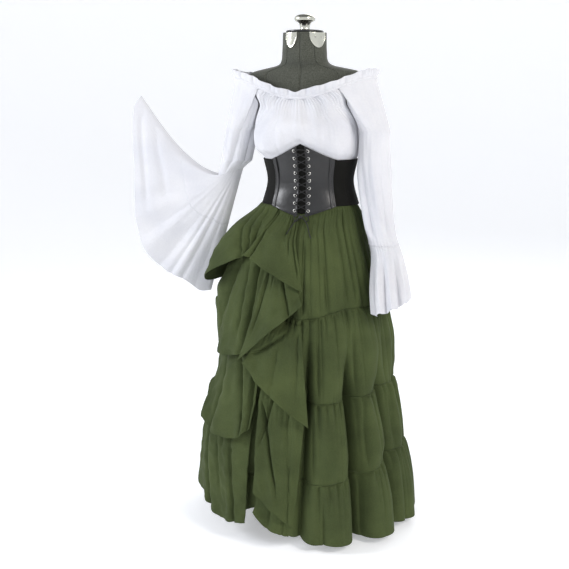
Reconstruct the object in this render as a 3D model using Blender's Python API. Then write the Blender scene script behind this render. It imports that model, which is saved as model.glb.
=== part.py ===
"""Medieval gown on a limbless dress form: chemise, laced cincher and tiered, hitched skirt.

Metres, +Z up, front towards -Y, the wearer's left towards +X. The origin is on the floor under the pole.
Angles run in degrees from the centre front towards +X.
"""

import math

import bpy
from mathutils import Vector

# Cloth walls
WALL = 0.0014
SEAM_GAP = 0.0006

# Layers over the form at the waist: how far each wall's outer side lies from the form
CHEMISE_OUT = 0.0024
SKIRT_OUT = 0.0042
MODESTY_OUT = 0.0062
CORSET_OUT = 0.0086
CORSET_WALL = 0.0018

# Heights
HEM = 0.022
SKIRT_TOP = 0.975
UNDERARM = 1.165
CORSET_TOP, CORSET_PEAK = 1.070, 1.117
CORSET_BOTTOM, CORSET_POINT = 0.940, 0.906
PANEL_ANGLE = 41.0
PANEL_INNER_ANGLE = 4.6
BONE_ANGLE, BONE_WIDTH = 34.0, 3.2
RAGLAN_ANGLE, RAGLAN_SHIFT = 34.0, 1.25
SIDE_ANGLE = 89.5

# Form: height, half width, half depth, centre x, centre y
FORM = (
    (0.760, 0.1180, 0.0850, 0.000, 0.000),
    (0.775, 0.1480, 0.1050, 0.000, 0.000),
    (0.805, 0.1580, 0.1120, 0.000, 0.000),
    (0.850, 0.1560, 0.1120, 0.000, 0.000),
    (0.900, 0.1470, 0.1070, 0.000, 0.000),
    (0.940, 0.1355, 0.1005, 0.000, 0.000),
    (1.006, 0.1190, 0.0905, 0.000, 0.000),
    (1.070, 0.1305, 0.1005, 0.000, -0.002),
    (1.120, 0.1340, 0.1065, -0.003, -0.004),
    (1.170, 0.1350, 0.1080, -0.006, -0.006),
    (1.220, 0.1400, 0.0970, -0.009, -0.005),
    (1.260, 0.1500, 0.0860, -0.011, -0.005),
    (1.290, 0.1660, 0.0760, -0.012, -0.006),
    (1.308, 0.1700, 0.0670, -0.012, -0.008),
    (1.318, 0.1550, 0.0600, -0.012, -0.010),
    (1.326, 0.1200, 0.0560, -0.012, -0.014),
    (1.334, 0.0820, 0.0540, -0.012, -0.020),
    (1.345, 0.0680, 0.0550, -0.012, -0.028),
    (1.370, 0.0640, 0.0570, -0.011, -0.034),
    (1.424, 0.0620, 0.0580, -0.010, -0.036),
)

# More rings of the form between these, so that the waist stays round
WAIST_ROWS = (0.963, 0.987, 1.030, 1.050)

# Neckline ring, at the middle of the casing
NECK_WIDTH, NECK_DEPTH, NECK_X, NECK_Y = 0.208, 0.0950, -0.016, -0.010
NECK_SIDE, NECK_FRONT_DROP, NECK_BACK_DROP = 1.300, 0.057, 0.015
NECK_V_POWER = 4.0
CASING_HALF_HEIGHT, CASING_THICK = 0.0042, 0.0045
RUFFLE_HEIGHT, RUFFLE_WAVES, RUFFLE_DEPTH = 0.021, 23, 0.0038

# How far the chemise stands out from the form: height over the cincher's top edge, at the side, at the front
BLOUSE = (
    (-0.085, CHEMISE_OUT, CHEMISE_OUT),
    (-0.030, CHEMISE_OUT, CHEMISE_OUT),
    (-0.004, CHEMISE_OUT, CHEMISE_OUT),
    (0.006, 0.0069, 0.0069),
    (0.018, 0.0110, 0.0170),
    (0.050, 0.0130, 0.0240),
    (0.095, 0.0120, 0.0190),
    (0.140, 0.0120, 0.0120),
    (0.200, 0.0140, 0.0100),
)

# Heights of the chemise's lowest rows over the cincher's top edge
TUCKED_ROWS = (0.006, -0.006, -0.034, -0.060, -0.083)

# Skirt radius on four sides: height, front (15), wearer's left (105), back (195), wearer's right (285)
SKIRT = (
    (0.015, 0.358, 0.330, 0.345, 0.312),
    (0.107, 0.348, 0.322, 0.334, 0.324),
    (0.160, 0.340, 0.312, 0.326, 0.328),
    (0.216, 0.330, 0.296, 0.318, 0.325),
    (0.258, 0.322, 0.291, 0.312, 0.320),
    (0.344, 0.302, 0.277, 0.294, 0.302),
    (0.400, 0.288, 0.262, 0.282, 0.281),
    (0.480, 0.268, 0.249, 0.268, 0.266),
    (0.573, 0.246, 0.237, 0.248, 0.262),
    (0.655, 0.224, 0.221, 0.228, 0.248),
    (0.710, 0.208, 0.208, 0.214, 0.236),
    (0.800, 0.182, 0.184, 0.190, 0.214),
    (0.850, 0.166, 0.170, 0.172, 0.196),
    (0.905, 0.146, 0.158, 0.150, 0.172),
    (0.980, 0.120, 0.140, 0.125, 0.150),
)
SKIRT_SIDES = (15.0, 105.0, 195.0, 285.0)

# Seams between tiers: angle, first seam, second seam, third seam
SEAMS = (
    (-180.0, 0.655, 0.415, 0.210),
    (-90.0, 0.655, 0.420, 0.215),
    (-20.0, 0.640, 0.405, 0.190),
    (12.0, 0.636, 0.404, 0.187),
    (40.0, 0.660, 0.412, 0.199),
    (70.0, 0.656, 0.428, 0.235),
    (110.0, 0.655, 0.420, 0.225),
    (180.0, 0.655, 0.415, 0.210),
)

# Hem of the lowest tier: angle, height over the usual hem; it rises where the skirt is hitched
HEM_LIFT = (
    (-180.0, 0.000),
    (-130.0, 0.010),
    (-95.0, 0.062),
    (-62.0, 0.074),
    (-48.0, 0.064),
    (-36.0, 0.044),
    (-26.0, 0.054),
    (-14.0, 0.084),
    (-7.0, 0.072),
    (1.0, 0.034),
    (9.0, 0.006),
    (18.0, 0.000),
    (180.0, 0.000),
)

# Deep folds of the lower tiers: angle at the top, angle at the hem, half width, depth, height where it starts
DEEP_FOLDS = (
    (13.0, 8.5, 7.0, 0.034, 0.66),
    (38.0, 38.5, 6.5, 0.046, 0.60),
    (63.0, 65.0, 7.0, 0.034, 0.56),
    (88.0, 90.0, 8.0, 0.030, 0.58),
    (110.0, 113.0, 8.0, 0.036, 0.62),
    (137.0, 135.0, 7.5, 0.032, 0.58),
    (158.0, 160.0, 7.0, 0.040, 0.60),
    (183.0, 181.0, 8.0, 0.030, 0.60),
    (204.0, 207.0, 7.0, 0.038, 0.58),
    (228.0, 229.0, 8.0, 0.032, 0.60),
    (252.0, 250.0, 7.5, 0.036, 0.58),
    (274.0, 276.0, 7.0, 0.022, 0.50),
)

# Height over which a tier draws in to the seam below it
SEAM_FADE = 0.060

# Hollow behind the hitched folds
HOLLOW_FROM, HOLLOW_TO, HOLLOW_EASE, HOLLOW_DEPTH = -98.0, 8.0, 13.0, 0.036

# A fold whose top edge follows the cincher's lower edge, flush with it
UNDER_CINCHER = -1.0
CORSET_RIM = CORSET_OUT - SKIRT_OUT

# Hitched folds: name, (angle, height) along the top, along the bottom edge, offset at the top and bottom,
# bulge, ripple, and clearance from the tier where the top edge is caught
FLAPS = (
    ("flap_hip_right", ((-100, UNDER_CINCHER), (-64, UNDER_CINCHER), (-29, UNDER_CINCHER)),
     ((-100, 0.705), (-76, 0.708), (-55, 0.768), (-38, 0.812)), CORSET_RIM, 0.0150, 0.062, 0.004, 0.0),
    ("flap_side_upper", ((-86, 0.780), (-50, 0.822), (-24, 0.832)),
     ((-85, 0.520), (-50, 0.512), (-22, 0.540)), 0.0060, 0.0180, 0.0, 0.004, -0.0042),
    ("flap_side_middle", ((-86, 0.556), (-50, 0.550), (-20, 0.560)),
     ((-62, 0.318), (-50, 0.296), (-28, 0.296), (-19, 0.330)), 0.0000, 0.0160, 0.0, 0.005, 0.0028),
    ("flap_side_lower", ((-86, 0.520), (-66, 0.400), (-46, 0.335), (-20, 0.350)),
     ((-86, 0.084), (-63, 0.086), (-49, 0.074), (-36, 0.054), (-27, 0.056), (-18, 0.062)),
     0.0000, 0.0100, 0.0, 0.006, 0.0009),
    ("cascade_waist", ((-27, UNDER_CINCHER), (-14, UNDER_CINCHER), (-3, UNDER_CINCHER)),
     ((-39, 0.806), (-18, 0.770), (8, 0.712)), CORSET_RIM, 0.0300, 0.0, 0.003, 0.0),
    ("cascade_upper", ((-22, 0.812), (-14, 0.800), (-2, 0.775)),
     ((-28, 0.519), (-11, 0.602), (8, 0.678)), 0.0050, 0.0350, 0.0, 0.003, 0.0028),
    ("cascade_middle", ((-16, 0.622), (-6, 0.622), (8, 0.622)),
     ((-26, 0.513), (-13, 0.456), (13, 0.350)), 0.0140, 0.0300, 0.0, 0.003, 0.0032),
    ("cascade_lower", ((-18, 0.466), (-5, 0.452), (12, 0.440)),
     ((-13, 0.160), (-3, 0.115), (6, 0.068)), -0.0060, 0.0060, 0.0, 0.003, 0.0073),
    ("cascade_hem", ((-12, 0.215), (-3, 0.215), (4, 0.212)),
     ((-13, 0.104), (-7, 0.068), (0, 0.053), (4, 0.042)), -0.0160, 0.0040, 0.0, 0.002, 0.0006),
)
# Share of half a turn of the hip fold's rounding that its height takes
HIP_CREST = 0.62
# How deep the right edge of a fold is tucked in
TUCK_DEPTH = 0.020
# How far the left edge of each side fold lies over the tiers
# (share of the fold that it takes, clearance at each row)
SIDE_EDGES = {
    "flap_side_upper": (0.50, (0.030, 0.040, 0.070, 0.048, 0.032)),
    "flap_side_middle": (0.125, (0.020, 0.020, 0.036, 0.050, 0.052)),
    "flap_side_lower": (0.125, (0.009, 0.009, 0.009, 0.009, 0.009)),
}
FLAP_COLUMNS = 9
FLAP_ROWS = (0.0, 0.16, 0.42, 0.72, 1.0)

# Sleeve on the wearer's left: height, centre x, centre y, half width, half depth
SLEEVE = (
    (1.150, 0.1930, -0.026, 0.0440, 0.050),
    (1.040, 0.1915, -0.024, 0.0430, 0.050),
    (0.943, 0.2010, -0.026, 0.0415, 0.050),
    (0.872, 0.2160, -0.047, 0.0390, 0.052),
    (0.810, 0.2370, -0.060, 0.0430, 0.054),
    (0.750, 0.2490, -0.082, 0.0480, 0.064),
    (0.700, 0.2570, -0.100, 0.0515, 0.072),
    (0.600, 0.2730, -0.132, 0.0520, 0.080),
)
SLEEVE_SEAM = 0.832
# Half of the sleeve's round that follows the neckline, in degrees of the sleeve
SHOULDER_TURN = 100.0

# Raised sleeve on the wearer's right: height, centre x, centre y, half width, half depth
RAISED = (
    (1.150, -0.2080, 0.000, 0.0450, 0.048),
    (1.060, -0.2300, 0.012, 0.0430, 0.040),
)
# Edge of the spread flounce: share of the edge, x, z
SPREAD_EDGE = (
    (0.00, -0.529, 1.250),
    (0.05, -0.550, 1.216),
    (0.19, -0.559, 1.107),
    (0.33, -0.562, 1.000),
    (0.46, -0.566, 0.909),
    (0.57, -0.558, 0.826),
    (0.65, -0.536, 0.768),
    (0.75, -0.478, 0.713),
    (0.86, -0.407, 0.681),
    (0.92, -0.370, 0.651),
    (1.00, -0.335, 0.650),
)
ELBOW_OUTER, ELBOW_INNER = (-0.2955, 1.008), (-0.2160, 1.035)
SPREAD_SEAM = 0.44
SPREAD_THICK = 0.026
SPREAD_SAG = 0.035

# Lacing
GROMMET_X, GROMMET_PAIRS, GROMMET_HIGH, GROMMET_LOW = 0.020, 9, 1.096, 0.927
GROMMET_OUTER, GROMMET_INNER, GROMMET_THICK, GROMMET_SEAT = 0.0048, 0.0024, 0.0011, 0.0007
LACE_RADIUS = 0.0013
LACE_UNDER, LACE_OVER = 0.0040, 0.0072

# Stand
POLE_RADIUS, BASE_RADIUS = 0.0165, 0.160
CAP_TOP = 1.431


def smooth(x):
    x = min(1.0, max(0.0, x))
    return x * x * (3.0 - 2.0 * x)


def blend(a, b, share):
    return a + (b - a) * share


def row_at(table, key):
    """The table's columns at a key, on a smooth curve through its rows."""
    rows = sorted(table)
    key = min(rows[-1][0], max(rows[0][0], key))
    i = max(1, next((n for n, row in enumerate(rows) if row[0] >= key), len(rows) - 1))
    low, high = rows[i - 1], rows[i]
    before, after = rows[max(0, i - 2)], rows[min(len(rows) - 1, i + 1)]
    step = high[0] - low[0]
    t = (key - low[0]) / step
    out = []
    for c in range(1, len(low)):
        slope_low = (high[c] - before[c]) / (high[0] - before[0]) * step
        slope_high = (after[c] - low[c]) / (after[0] - low[0]) * step
        cubic = (2 * t**3 - 3 * t**2 + 1) * low[c] + (t**3 - 2 * t**2 + t) * slope_low
        cubic += (3 * t**2 - 2 * t**3) * high[c] + (t**3 - t**2) * slope_high
        out.append(cubic)
    return out


def straight_at(points, share):
    """A point on a line of points, at a share of its count of stretches."""
    place = share * (len(points) - 1)
    i = min(len(points) - 2, int(place))
    return [blend(a, b, place - i) for a, b in zip(points[i], points[i + 1])]


def material(name, colour, roughness, metallic=0.0):
    made = bpy.data.materials.new(name)
    made.use_nodes = True
    shader = made.node_tree.nodes["Principled BSDF"]
    shader.inputs["Base Color"].default_value = (*colour, 1.0)
    shader.inputs["Roughness"].default_value = roughness
    shader.inputs["Metallic"].default_value = metallic
    return made


def add_mesh(name, points, faces, finish):
    mesh = bpy.data.meshes.new(name)
    mesh.from_pydata([tuple(p) for p in points], [], faces)
    mesh.validate()
    mesh.shade_smooth()
    mesh.set_sharp_from_angle(angle=math.radians(50))
    mesh.materials.append(finish)
    made = bpy.data.objects.new(name, mesh)
    bpy.context.scene.collection.objects.link(made)
    return made


def grid_normals(grid, wrap):
    rows, columns = len(grid), len(grid[0])
    out = []
    for r in range(rows):
        line = []
        for c in range(columns):
            left = grid[r][(c - 1) % columns] if wrap else grid[r][max(0, c - 1)]
            right = grid[r][(c + 1) % columns] if wrap else grid[r][min(columns - 1, c + 1)]
            across = right - left
            down = grid[min(rows - 1, r + 1)][c] - grid[max(0, r - 1)][c]
            normal = down.cross(across)
            line.append(normal.normalized() if normal.length > 1e-12 else Vector((0, 0, 1)))
        out.append(line)
    return out


def wall(name, surface, rows, columns, finish, wrap=False, thick=WALL):
    """A cloth wall: surface(row, column) is its outer side, rows run down and columns towards +X at the front."""
    outer = [[Vector(surface(r, c)) for c in range(columns)] for r in range(rows)]
    normals = grid_normals(outer, wrap)
    inner = [[outer[r][c] - normals[r][c] * thick for c in range(columns)] for r in range(rows)]
    points = [p for line in outer for p in line] + [p for line in inner for p in line]
    shift = rows * columns
    faces = []

    def at(r, c, side):
        return side * shift + r * columns + c % columns

    last = columns if wrap else columns - 1
    for r in range(rows - 1):
        for c in range(last):
            faces.append((at(r, c, 0), at(r + 1, c, 0), at(r + 1, c + 1, 0), at(r, c + 1, 0)))
            faces.append((at(r, c, 1), at(r, c + 1, 1), at(r + 1, c + 1, 1), at(r + 1, c, 1)))
    for c in range(last):
        faces.append((at(0, c, 0), at(0, c + 1, 0), at(0, c + 1, 1), at(0, c, 1)))
        faces.append((at(rows - 1, c, 0), at(rows - 1, c, 1), at(rows - 1, c + 1, 1), at(rows - 1, c + 1, 0)))
    if not wrap:
        end = columns - 1
        for r in range(rows - 1):
            faces.append((at(r, 0, 0), at(r, 0, 1), at(r + 1, 0, 1), at(r + 1, 0, 0)))
            faces.append((at(r, end, 0), at(r + 1, end, 0), at(r + 1, end, 1), at(r, end, 1)))
    return add_mesh(name, points, faces, finish)


def turned(name, profile, finish, sides=24, centre=(0.0, 0.0)):
    """A solid turned about a vertical axis: profile holds (radius, height) from the bottom up."""
    points, faces = [(centre[0], centre[1], profile[0][1])], []
    for radius, height in profile:
        for s in range(sides):
            angle = math.tau * s / sides
            points.append((centre[0] + radius * math.cos(angle), centre[1] + radius * math.sin(angle), height))
    points.append((centre[0], centre[1], profile[-1][1]))
    top = len(points) - 1
    for s in range(sides):
        nxt = (s + 1) % sides
        faces.append((0, 1 + nxt, 1 + s))
        for r in range(len(profile) - 1):
            low, high = 1 + r * sides, 1 + (r + 1) * sides
            faces.append((low + s, low + nxt, high + nxt, high + s))
        ring = 1 + (len(profile) - 1) * sides
        faces.append((ring + s, ring + nxt, top))
    return add_mesh(name, points, faces, finish)


def tube(name, route, radius, finish, bevel=1):
    """A cord as a curve object along its route."""
    curve = bpy.data.curves.new(name, "CURVE")
    curve.dimensions = "3D"
    curve.bevel_depth = radius
    curve.bevel_resolution = bevel
    curve.use_fill_caps = True
    spline = curve.splines.new("POLY")
    spline.points.add(len(route) - 1)
    for point, place in zip(spline.points, route):
        point.co = (*place, 1.0)
    curve.materials.append(finish)
    made = bpy.data.objects.new(name, curve)
    bpy.context.scene.collection.objects.link(made)
    return made


# Surfaces

def form_point(angle, height, out=0.0):
    half_width, half_depth, x, y = row_at(FORM, height)
    a = math.radians(angle)
    return Vector((x + (half_width + out) * math.sin(a), y - (half_depth + out) * math.cos(a), height))


def corset_top(angle):
    away = min(1.0, abs(signed(angle)) / 46.0)
    return CORSET_TOP + (CORSET_PEAK - CORSET_TOP) * (1.0 - away) ** 1.35


def corset_bottom(angle):
    away = min(1.0, abs(signed(angle)) / 44.0)
    return CORSET_BOTTOM - (CORSET_BOTTOM - CORSET_POINT) * (1.0 - away) ** 1.15


def signed(angle):
    return (angle + 180.0) % 360.0 - 180.0


def neck_height(angle):
    c = math.cos(math.radians(angle))
    if c > 0:
        return NECK_SIDE - NECK_FRONT_DROP * c**NECK_V_POWER
    return NECK_SIDE - NECK_BACK_DROP * c * c


def neck_point(angle, out=0.0, up=0.0):
    a = math.radians(angle)
    x = NECK_X + (NECK_WIDTH + out) * math.sin(a)
    y = NECK_Y - (NECK_DEPTH + out) * math.cos(a)
    return Vector((x, y, neck_height(angle) + up))


def chemise_point(angle, height, out=0.0):
    """Outer side of the chemise's body: flat under the cincher, bloused above it, drawn out to the neckline."""
    side, front = row_at(BLOUSE, height - corset_top(angle))
    facing = max(0.0, math.cos(math.radians(angle))) ** 0.7
    puff = 0.012 * math.exp(-((signed(angle) + 62.0) / 26.0) ** 2) * smooth((height - 1.078) / 0.02)
    puff *= smooth((1.20 - height) / 0.06)
    low = form_point(angle, height, blend(side, front, facing) + puff + out)
    top = neck_height(angle) - CASING_HALF_HEIGHT - SEAM_GAP
    high = neck_point(angle, out)
    high.z = height
    return low.lerp(high, smooth(1.0 - (top - height) / 0.075))


def skirt_radius(angle, height):
    sides = row_at(SKIRT, height)
    place = ((angle - SKIRT_SIDES[0]) % 360.0) / 90.0
    i = int(place) % 4
    return blend(sides[i], sides[(i + 1) % 4], smooth(place - int(place)))


def skirt_point(angle, height, out=0.0):
    """The skirt's even surface: flat on the form under the cincher, then flaring to its radius."""
    a = math.radians(angle)
    away = Vector((math.sin(a), -math.cos(a), 0.0))
    radius = skirt_radius(angle, height)
    wide = Vector((radius * away.x, radius * away.y, height))
    snug = form_point(angle, height, SKIRT_OUT)
    flare = smooth((corset_bottom(angle) - 0.003 - height) / 0.060)
    return snug.lerp(wide, flare) + away * out


def deep_fold(angle, height):
    depth = 0.0
    for top_angle, hem_angle, half_width, deep, start in DEEP_FOLDS:
        middle = blend(hem_angle, top_angle, height / start)
        apart = signed(angle - middle) / half_width
        depth += deep * math.exp(-apart * apart) * smooth((start - height) / 0.22)
    return depth


def hollow(angle, height):
    turn = signed(angle)
    share = smooth((turn - HOLLOW_FROM) / HOLLOW_EASE) * smooth((HOLLOW_TO - turn) / HOLLOW_EASE)
    return HOLLOW_DEPTH * share * smooth((0.88 - height) / 0.25)


def cloth_out(angle, height):
    """How far the tiers' outer side stands off the even surface."""
    behind = hollow(angle, height) + deep_fold(angle, height)
    first, second, third = row_at(SEAMS, signed(angle))
    if height >= first:
        drape = smooth((corset_bottom(angle) - 0.004 - height) / 0.25)
        return 0.0055 * drape * math.sin(math.radians(24 * angle)) - behind
    edges = (first, second, third, HEM - SEAM_FADE)
    tier = next(n for n in range(3) if height > edges[n + 1] or n == 2)
    below, above = edges[tier] - height, height - edges[tier + 1]
    puff = 0.006 * smooth(below / 0.03)
    fine = 0.0030 * math.sin(math.radians(24 * angle))
    lobe = 0.007 * math.sin(math.radians(13 * angle + 40)) * smooth(below / 0.12)
    return blend(fine, puff + fine * math.exp(-below / 0.07) + lobe, smooth(above / SEAM_FADE)) - behind


def skirt_cloth(angle, height):
    return skirt_point(angle, height, cloth_out(angle, height))


# Form and stand

def build_form(jersey, enamel, chrome, iron):
    heights = sorted([row[0] for row in FORM] + list(WAIST_ROWS))
    sides = 26
    points, faces = [], []
    for height in heights:
        for s in range(sides):
            points.append(form_point(360.0 * s / sides, height))
    bottom, top = len(points), len(points) + 1
    points += [Vector((0, 0, heights[0])), Vector((FORM[-1][3], FORM[-1][4], heights[-1]))]
    for r in range(len(heights) - 1):
        for s in range(sides):
            nxt = (s + 1) % sides
            faces.append((r * sides + s, r * sides + nxt, (r + 1) * sides + nxt, (r + 1) * sides + s))
    ring = (len(heights) - 1) * sides
    for s in range(sides):
        nxt = (s + 1) % sides
        faces.append((bottom, nxt, s))
        faces.append((ring + s, ring + nxt, top))
    add_mesh("form_torso", points, faces, jersey)

    middle = (FORM[-1][3], FORM[-1][4])
    low = FORM[-1][0] + 0.0003
    turned("form_neck_cap", ((0.050, low), (0.053, low + 0.002), (0.053, CAP_TOP - 0.0015), (0.050, CAP_TOP)),
           enamel, 24, middle)
    knob = ((0.0150, 0.0003), (0.0140, 0.006), (0.0150, 0.014), (0.0185, 0.021), (0.0270, 0.0245),
            (0.0305, 0.030), (0.0300, 0.037), (0.0220, 0.0425), (0.0100, 0.0450))
    turned("form_knob", tuple((radius, CAP_TOP + up) for radius, up in knob), chrome, 20, middle)
    for start, end, label in ((25.0, 75.0, "left"), (-41.0, -8.0, "right")):
        def plate(r, c, start=start, end=end):
            share = c / 8
            drop = 0.040 * math.sin(math.pi * share) ** 0.5 + 0.002
            return form_point(blend(start, end, share), FORM[-1][0] - 0.0005 - drop * r / 2, 0.0009 + 0.0016)
        wall("form_neck_dial_" + label, plate, 3, 9, chrome, thick=0.0016)

    hub = ((BASE_RADIUS - 0.002, 0.0), (BASE_RADIUS, 0.003), (BASE_RADIUS, 0.009), (BASE_RADIUS - 0.006, 0.012),
           (0.050, 0.018), (0.030, 0.026), (0.026, 0.050))
    turned("stand_base", hub, iron, 32)
    turned("stand_pole", ((POLE_RADIUS, 0.0503), (POLE_RADIUS, FORM[0][0] - 0.0003)), chrome, 20)


# Chemise


def raglan_angle(share):
    return blend(RAGLAN_ANGLE, SIDE_ANGLE, share)


def top_edge(angle):
    return neck_height(angle) - CASING_HALF_HEIGHT - SEAM_GAP


def build_chemise_body(cotton):
    upper = (0.0, 0.14, 0.34, 0.56, 0.78, 1.0)
    bust = (0.45, 1.0)
    for name, centre, columns in (("chemise_front", 0.0, 22), ("chemise_back", 180.0, 20)):
        def panel(r, c, centre=centre, columns=columns):
            u = 2.0 * c / (columns - 1) - 1.0
            if r < len(upper):
                share = upper[r]
                angle = centre + u * raglan_angle(share)
                start = top_edge(centre + u * RAGLAN_ANGLE)
                height = blend(start, UNDERARM, share)
            elif r < len(upper) + len(bust):
                angle = centre + u * SIDE_ANGLE
                height = blend(UNDERARM, corset_top(angle) + 0.020, bust[r - len(upper)])
            else:
                angle = centre + u * SIDE_ANGLE
                level = TUCKED_ROWS[r - len(upper) - len(bust)]
                rise = corset_top(angle) - CORSET_TOP
                height = CORSET_TOP + level + rise * smooth((level + 0.083) / 0.06)
            gather = 0.0030 * math.cos(math.pi * 7 * u) * smooth((height - 1.150) / 0.10)
            return chemise_point(angle, height, gather)
        wall(name, panel, len(upper) + len(bust) + len(TUCKED_ROWS), columns, cotton)


def sleeve_top(turn, side):
    """The sleeve's upper edge: the neckline over the shoulder, then down each raglan seam to the underarm."""
    across = signed(turn)
    if abs(across) <= SHOULDER_TURN:
        angle = 90.0 - across * (90.0 - RAGLAN_ANGLE - RAGLAN_SHIFT) / SHOULDER_TURN
        point = neck_point(side * angle)
        point.z = top_edge(angle)
        return point
    share = (abs(across) - SHOULDER_TURN) / (180.0 - SHOULDER_TURN)
    angle = raglan_angle(share) + RAGLAN_SHIFT
    height = blend(top_edge(RAGLAN_ANGLE), UNDERARM, share)
    if across < 0:
        angle = 180.0 - angle
        height = blend(top_edge(180.0 - RAGLAN_ANGLE), UNDERARM, share)
    return chemise_point(side * angle, height, 0.0016 * share)


def sleeve_ring(row, turn, side):
    """A ring of the hanging sleeve: turn 0 is the outer side and 90 the front."""
    height, x, y, half_width, half_depth = row
    a = math.radians(turn)
    return Vector((x + side * half_width * math.cos(a), y - half_depth * math.sin(a), height))


def build_sleeve_left(cotton):
    columns = 22
    heights = (1.115, 1.040, 0.960, 0.885, SLEEVE_SEAM)
    starts = (0.0, 0.30, 0.65)

    def surface(r, c):
        turn = 360.0 * c / columns - 180.0
        soft = 0.0035 * math.cos(math.radians(5 * turn + 30))
        if r < len(starts):
            ring = sleeve_ring((1.150, *row_at(SLEEVE, 1.150)), turn, 1)
            return sleeve_top(turn, 1).lerp(ring, smooth(starts[r]))
        height = heights[r - len(starts)]
        x, y, half_width, half_depth = row_at(SLEEVE, height)
        row = (height, x, y, half_width + soft, half_depth + soft)
        return sleeve_ring(row, turn, 1)

    wall("sleeve_left", lambda r, c: surface(r, columns - c), len(starts) + len(heights), columns, cotton, wrap=True)


def build_flounce_left(cotton):
    columns, rows = 36, 4

    def surface(r, c):
        turn = -360.0 * c / columns
        share = (0.0, 0.12, 0.5, 1.0)[r]
        hem = 0.662 + 0.020 * math.cos(math.radians(turn))
        height = blend(SLEEVE_SEAM - SEAM_GAP, hem, share)
        x, y, half_width, half_depth = row_at(SLEEVE, height)
        fold = 0.0115 * smooth(share * 1.6) * math.cos(math.radians(9 * turn + 60))
        return sleeve_ring((height, x, y, half_width + 0.5 * fold, half_depth + fold), turn, 1)

    wall("flounce_left", surface, rows, columns, cotton, wrap=True)


def spread_point(turn, reach):
    """A point of the raised sleeve's spread part: reach 0 at the elbow, 1 at the edge."""
    a = math.radians(turn)
    share = (1.0 - math.cos(a)) / 2.0
    edge_x, edge_z = row_at(SPREAD_EDGE, share)
    x = blend(blend(ELBOW_OUTER[0], ELBOW_INNER[0], share), edge_x, reach)
    z = blend(blend(ELBOW_OUTER[1], ELBOW_INNER[1], share), edge_z, reach)
    z -= SPREAD_SAG * math.sin(math.pi * reach) * (1.0 - share) ** 4
    plane = 0.030 + 0.10 * (1.0 - z)
    front, back = math.cos(math.radians(360.0 * share + 25.0)), math.sin(math.radians(340.0 * share))
    ridge = front if math.sin(a) > 0 else back
    finer = math.cos(math.radians(360.0 * 6.0 * share)) * smooth((reach - SPREAD_SEAM) / 0.3)
    depth = blend(0.036, SPREAD_THICK, reach) + (0.006 * ridge + 0.006 * finer) * smooth(reach * 3.0)
    return Vector((x, plane - depth * math.sin(a), z))


def build_sleeve_right(cotton):
    columns = 22
    starts = (0.0, 0.30, 0.65)
    reaches = (0.0, 0.14, SPREAD_SEAM)
    rows = len(starts) + 2 + len(reaches)

    def surface(r, c):
        turn = 360.0 * c / columns - 180.0
        if r < len(starts):
            return sleeve_top(turn, -1).lerp(sleeve_ring(RAISED[0], turn, -1), smooth(starts[r]))
        if r < len(starts) + 2:
            return sleeve_ring(RAISED[r - len(starts)], turn, -1)
        return spread_point(turn, reaches[r - len(starts) - 2])

    wall("sleeve_right", surface, rows, columns, cotton, wrap=True)


def build_flounce_right(cotton):
    columns = 40

    def surface(r, c):
        turn = 360.0 * c / columns - 180.0
        return spread_point(turn, (SPREAD_SEAM + 0.006, 0.52, 0.74, 1.0)[r])

    wall("flounce_right", surface, 4, columns, cotton, wrap=True)


def build_neckline(cotton):
    columns = 42
    out = (0.0, CASING_THICK, CASING_THICK, 0.0)
    up = (-CASING_HALF_HEIGHT, -CASING_HALF_HEIGHT * 0.7, CASING_HALF_HEIGHT * 0.7, CASING_HALF_HEIGHT)
    points, faces = [], []
    for c in range(columns):
        for n in range(4):
            points.append(neck_point(360.0 * c / columns, out[n] - CASING_THICK / 2, up[n]))
    for c in range(columns):
        here, there = c * 4, (c + 1) % columns * 4
        for n in range(4):
            faces.append((here + n, there + n, there + (n + 1) % 4, here + (n + 1) % 4))
    add_mesh("neck_casing", points, faces, cotton)

    waves = RUFFLE_WAVES * 3

    def ruffle(r, c):
        angle = 360.0 * c / waves
        share = (1.0, 0.45, 0.0)[r]
        low = CASING_HALF_HEIGHT + SEAM_GAP
        flute = RUFFLE_DEPTH * math.cos(math.radians(RUFFLE_WAVES * angle)) * smooth(share * 1.3 + 0.15)
        notch = 0.008 * math.exp(-((signed(angle)) / 4.0) ** 2)
        rise = low + share * (RUFFLE_HEIGHT - notch + 0.0018 * math.sin(math.radians(7 * angle)))
        return neck_point(angle, 0.0012 + 0.004 * share + flute, rise)

    wall("neck_ruffle", ruffle, 3, waves, cotton, wrap=True)


# Cincher

def corset_point(angle, share, out=CORSET_OUT):
    """share 0 is the top edge and 1 the bottom edge."""
    return form_point(angle, blend(corset_top(angle), corset_bottom(angle), share), out)


def build_corset(vinyl, elastic):
    rows = 10
    for side, label in ((1, "left"), (-1, "right")):
        columns = 7

        def panel(r, c, side=side, columns=columns):
            share = c / (columns - 1)
            share = share if side > 0 else 1.0 - share
            return corset_point(side * blend(PANEL_INNER_ANGLE, PANEL_ANGLE, share), r / (rows - 1))
        wall("corset_panel_" + label, panel, rows, columns, vinyl, thick=CORSET_WALL)

        def channel(r, c, side=side):
            offset = BONE_WIDTH * (c if side > 0 else 2 - c) / 2
            return corset_point(side * (BONE_ANGLE + offset), r / (rows - 1), CORSET_OUT + 0.0022)
        wall("corset_bone_" + label, channel, rows, 3, vinyl, thick=0.0014)
    columns = 21

    def band(r, c):
        angle = blend(PANEL_ANGLE + 0.2, 360.0 - PANEL_ANGLE - 0.2, c / (columns - 1))
        return corset_point(angle, r / 6)
    wall("corset_band", band, 7, columns, elastic, thick=CORSET_WALL)

    def modesty(r, c):
        return corset_point(blend(-9.0, 9.0, c / 4), (r + 0.5) / (rows - 1), MODESTY_OUT)
    wall("corset_modesty_panel", modesty, rows - 1, 5, elastic, thick=0.0012)


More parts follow.
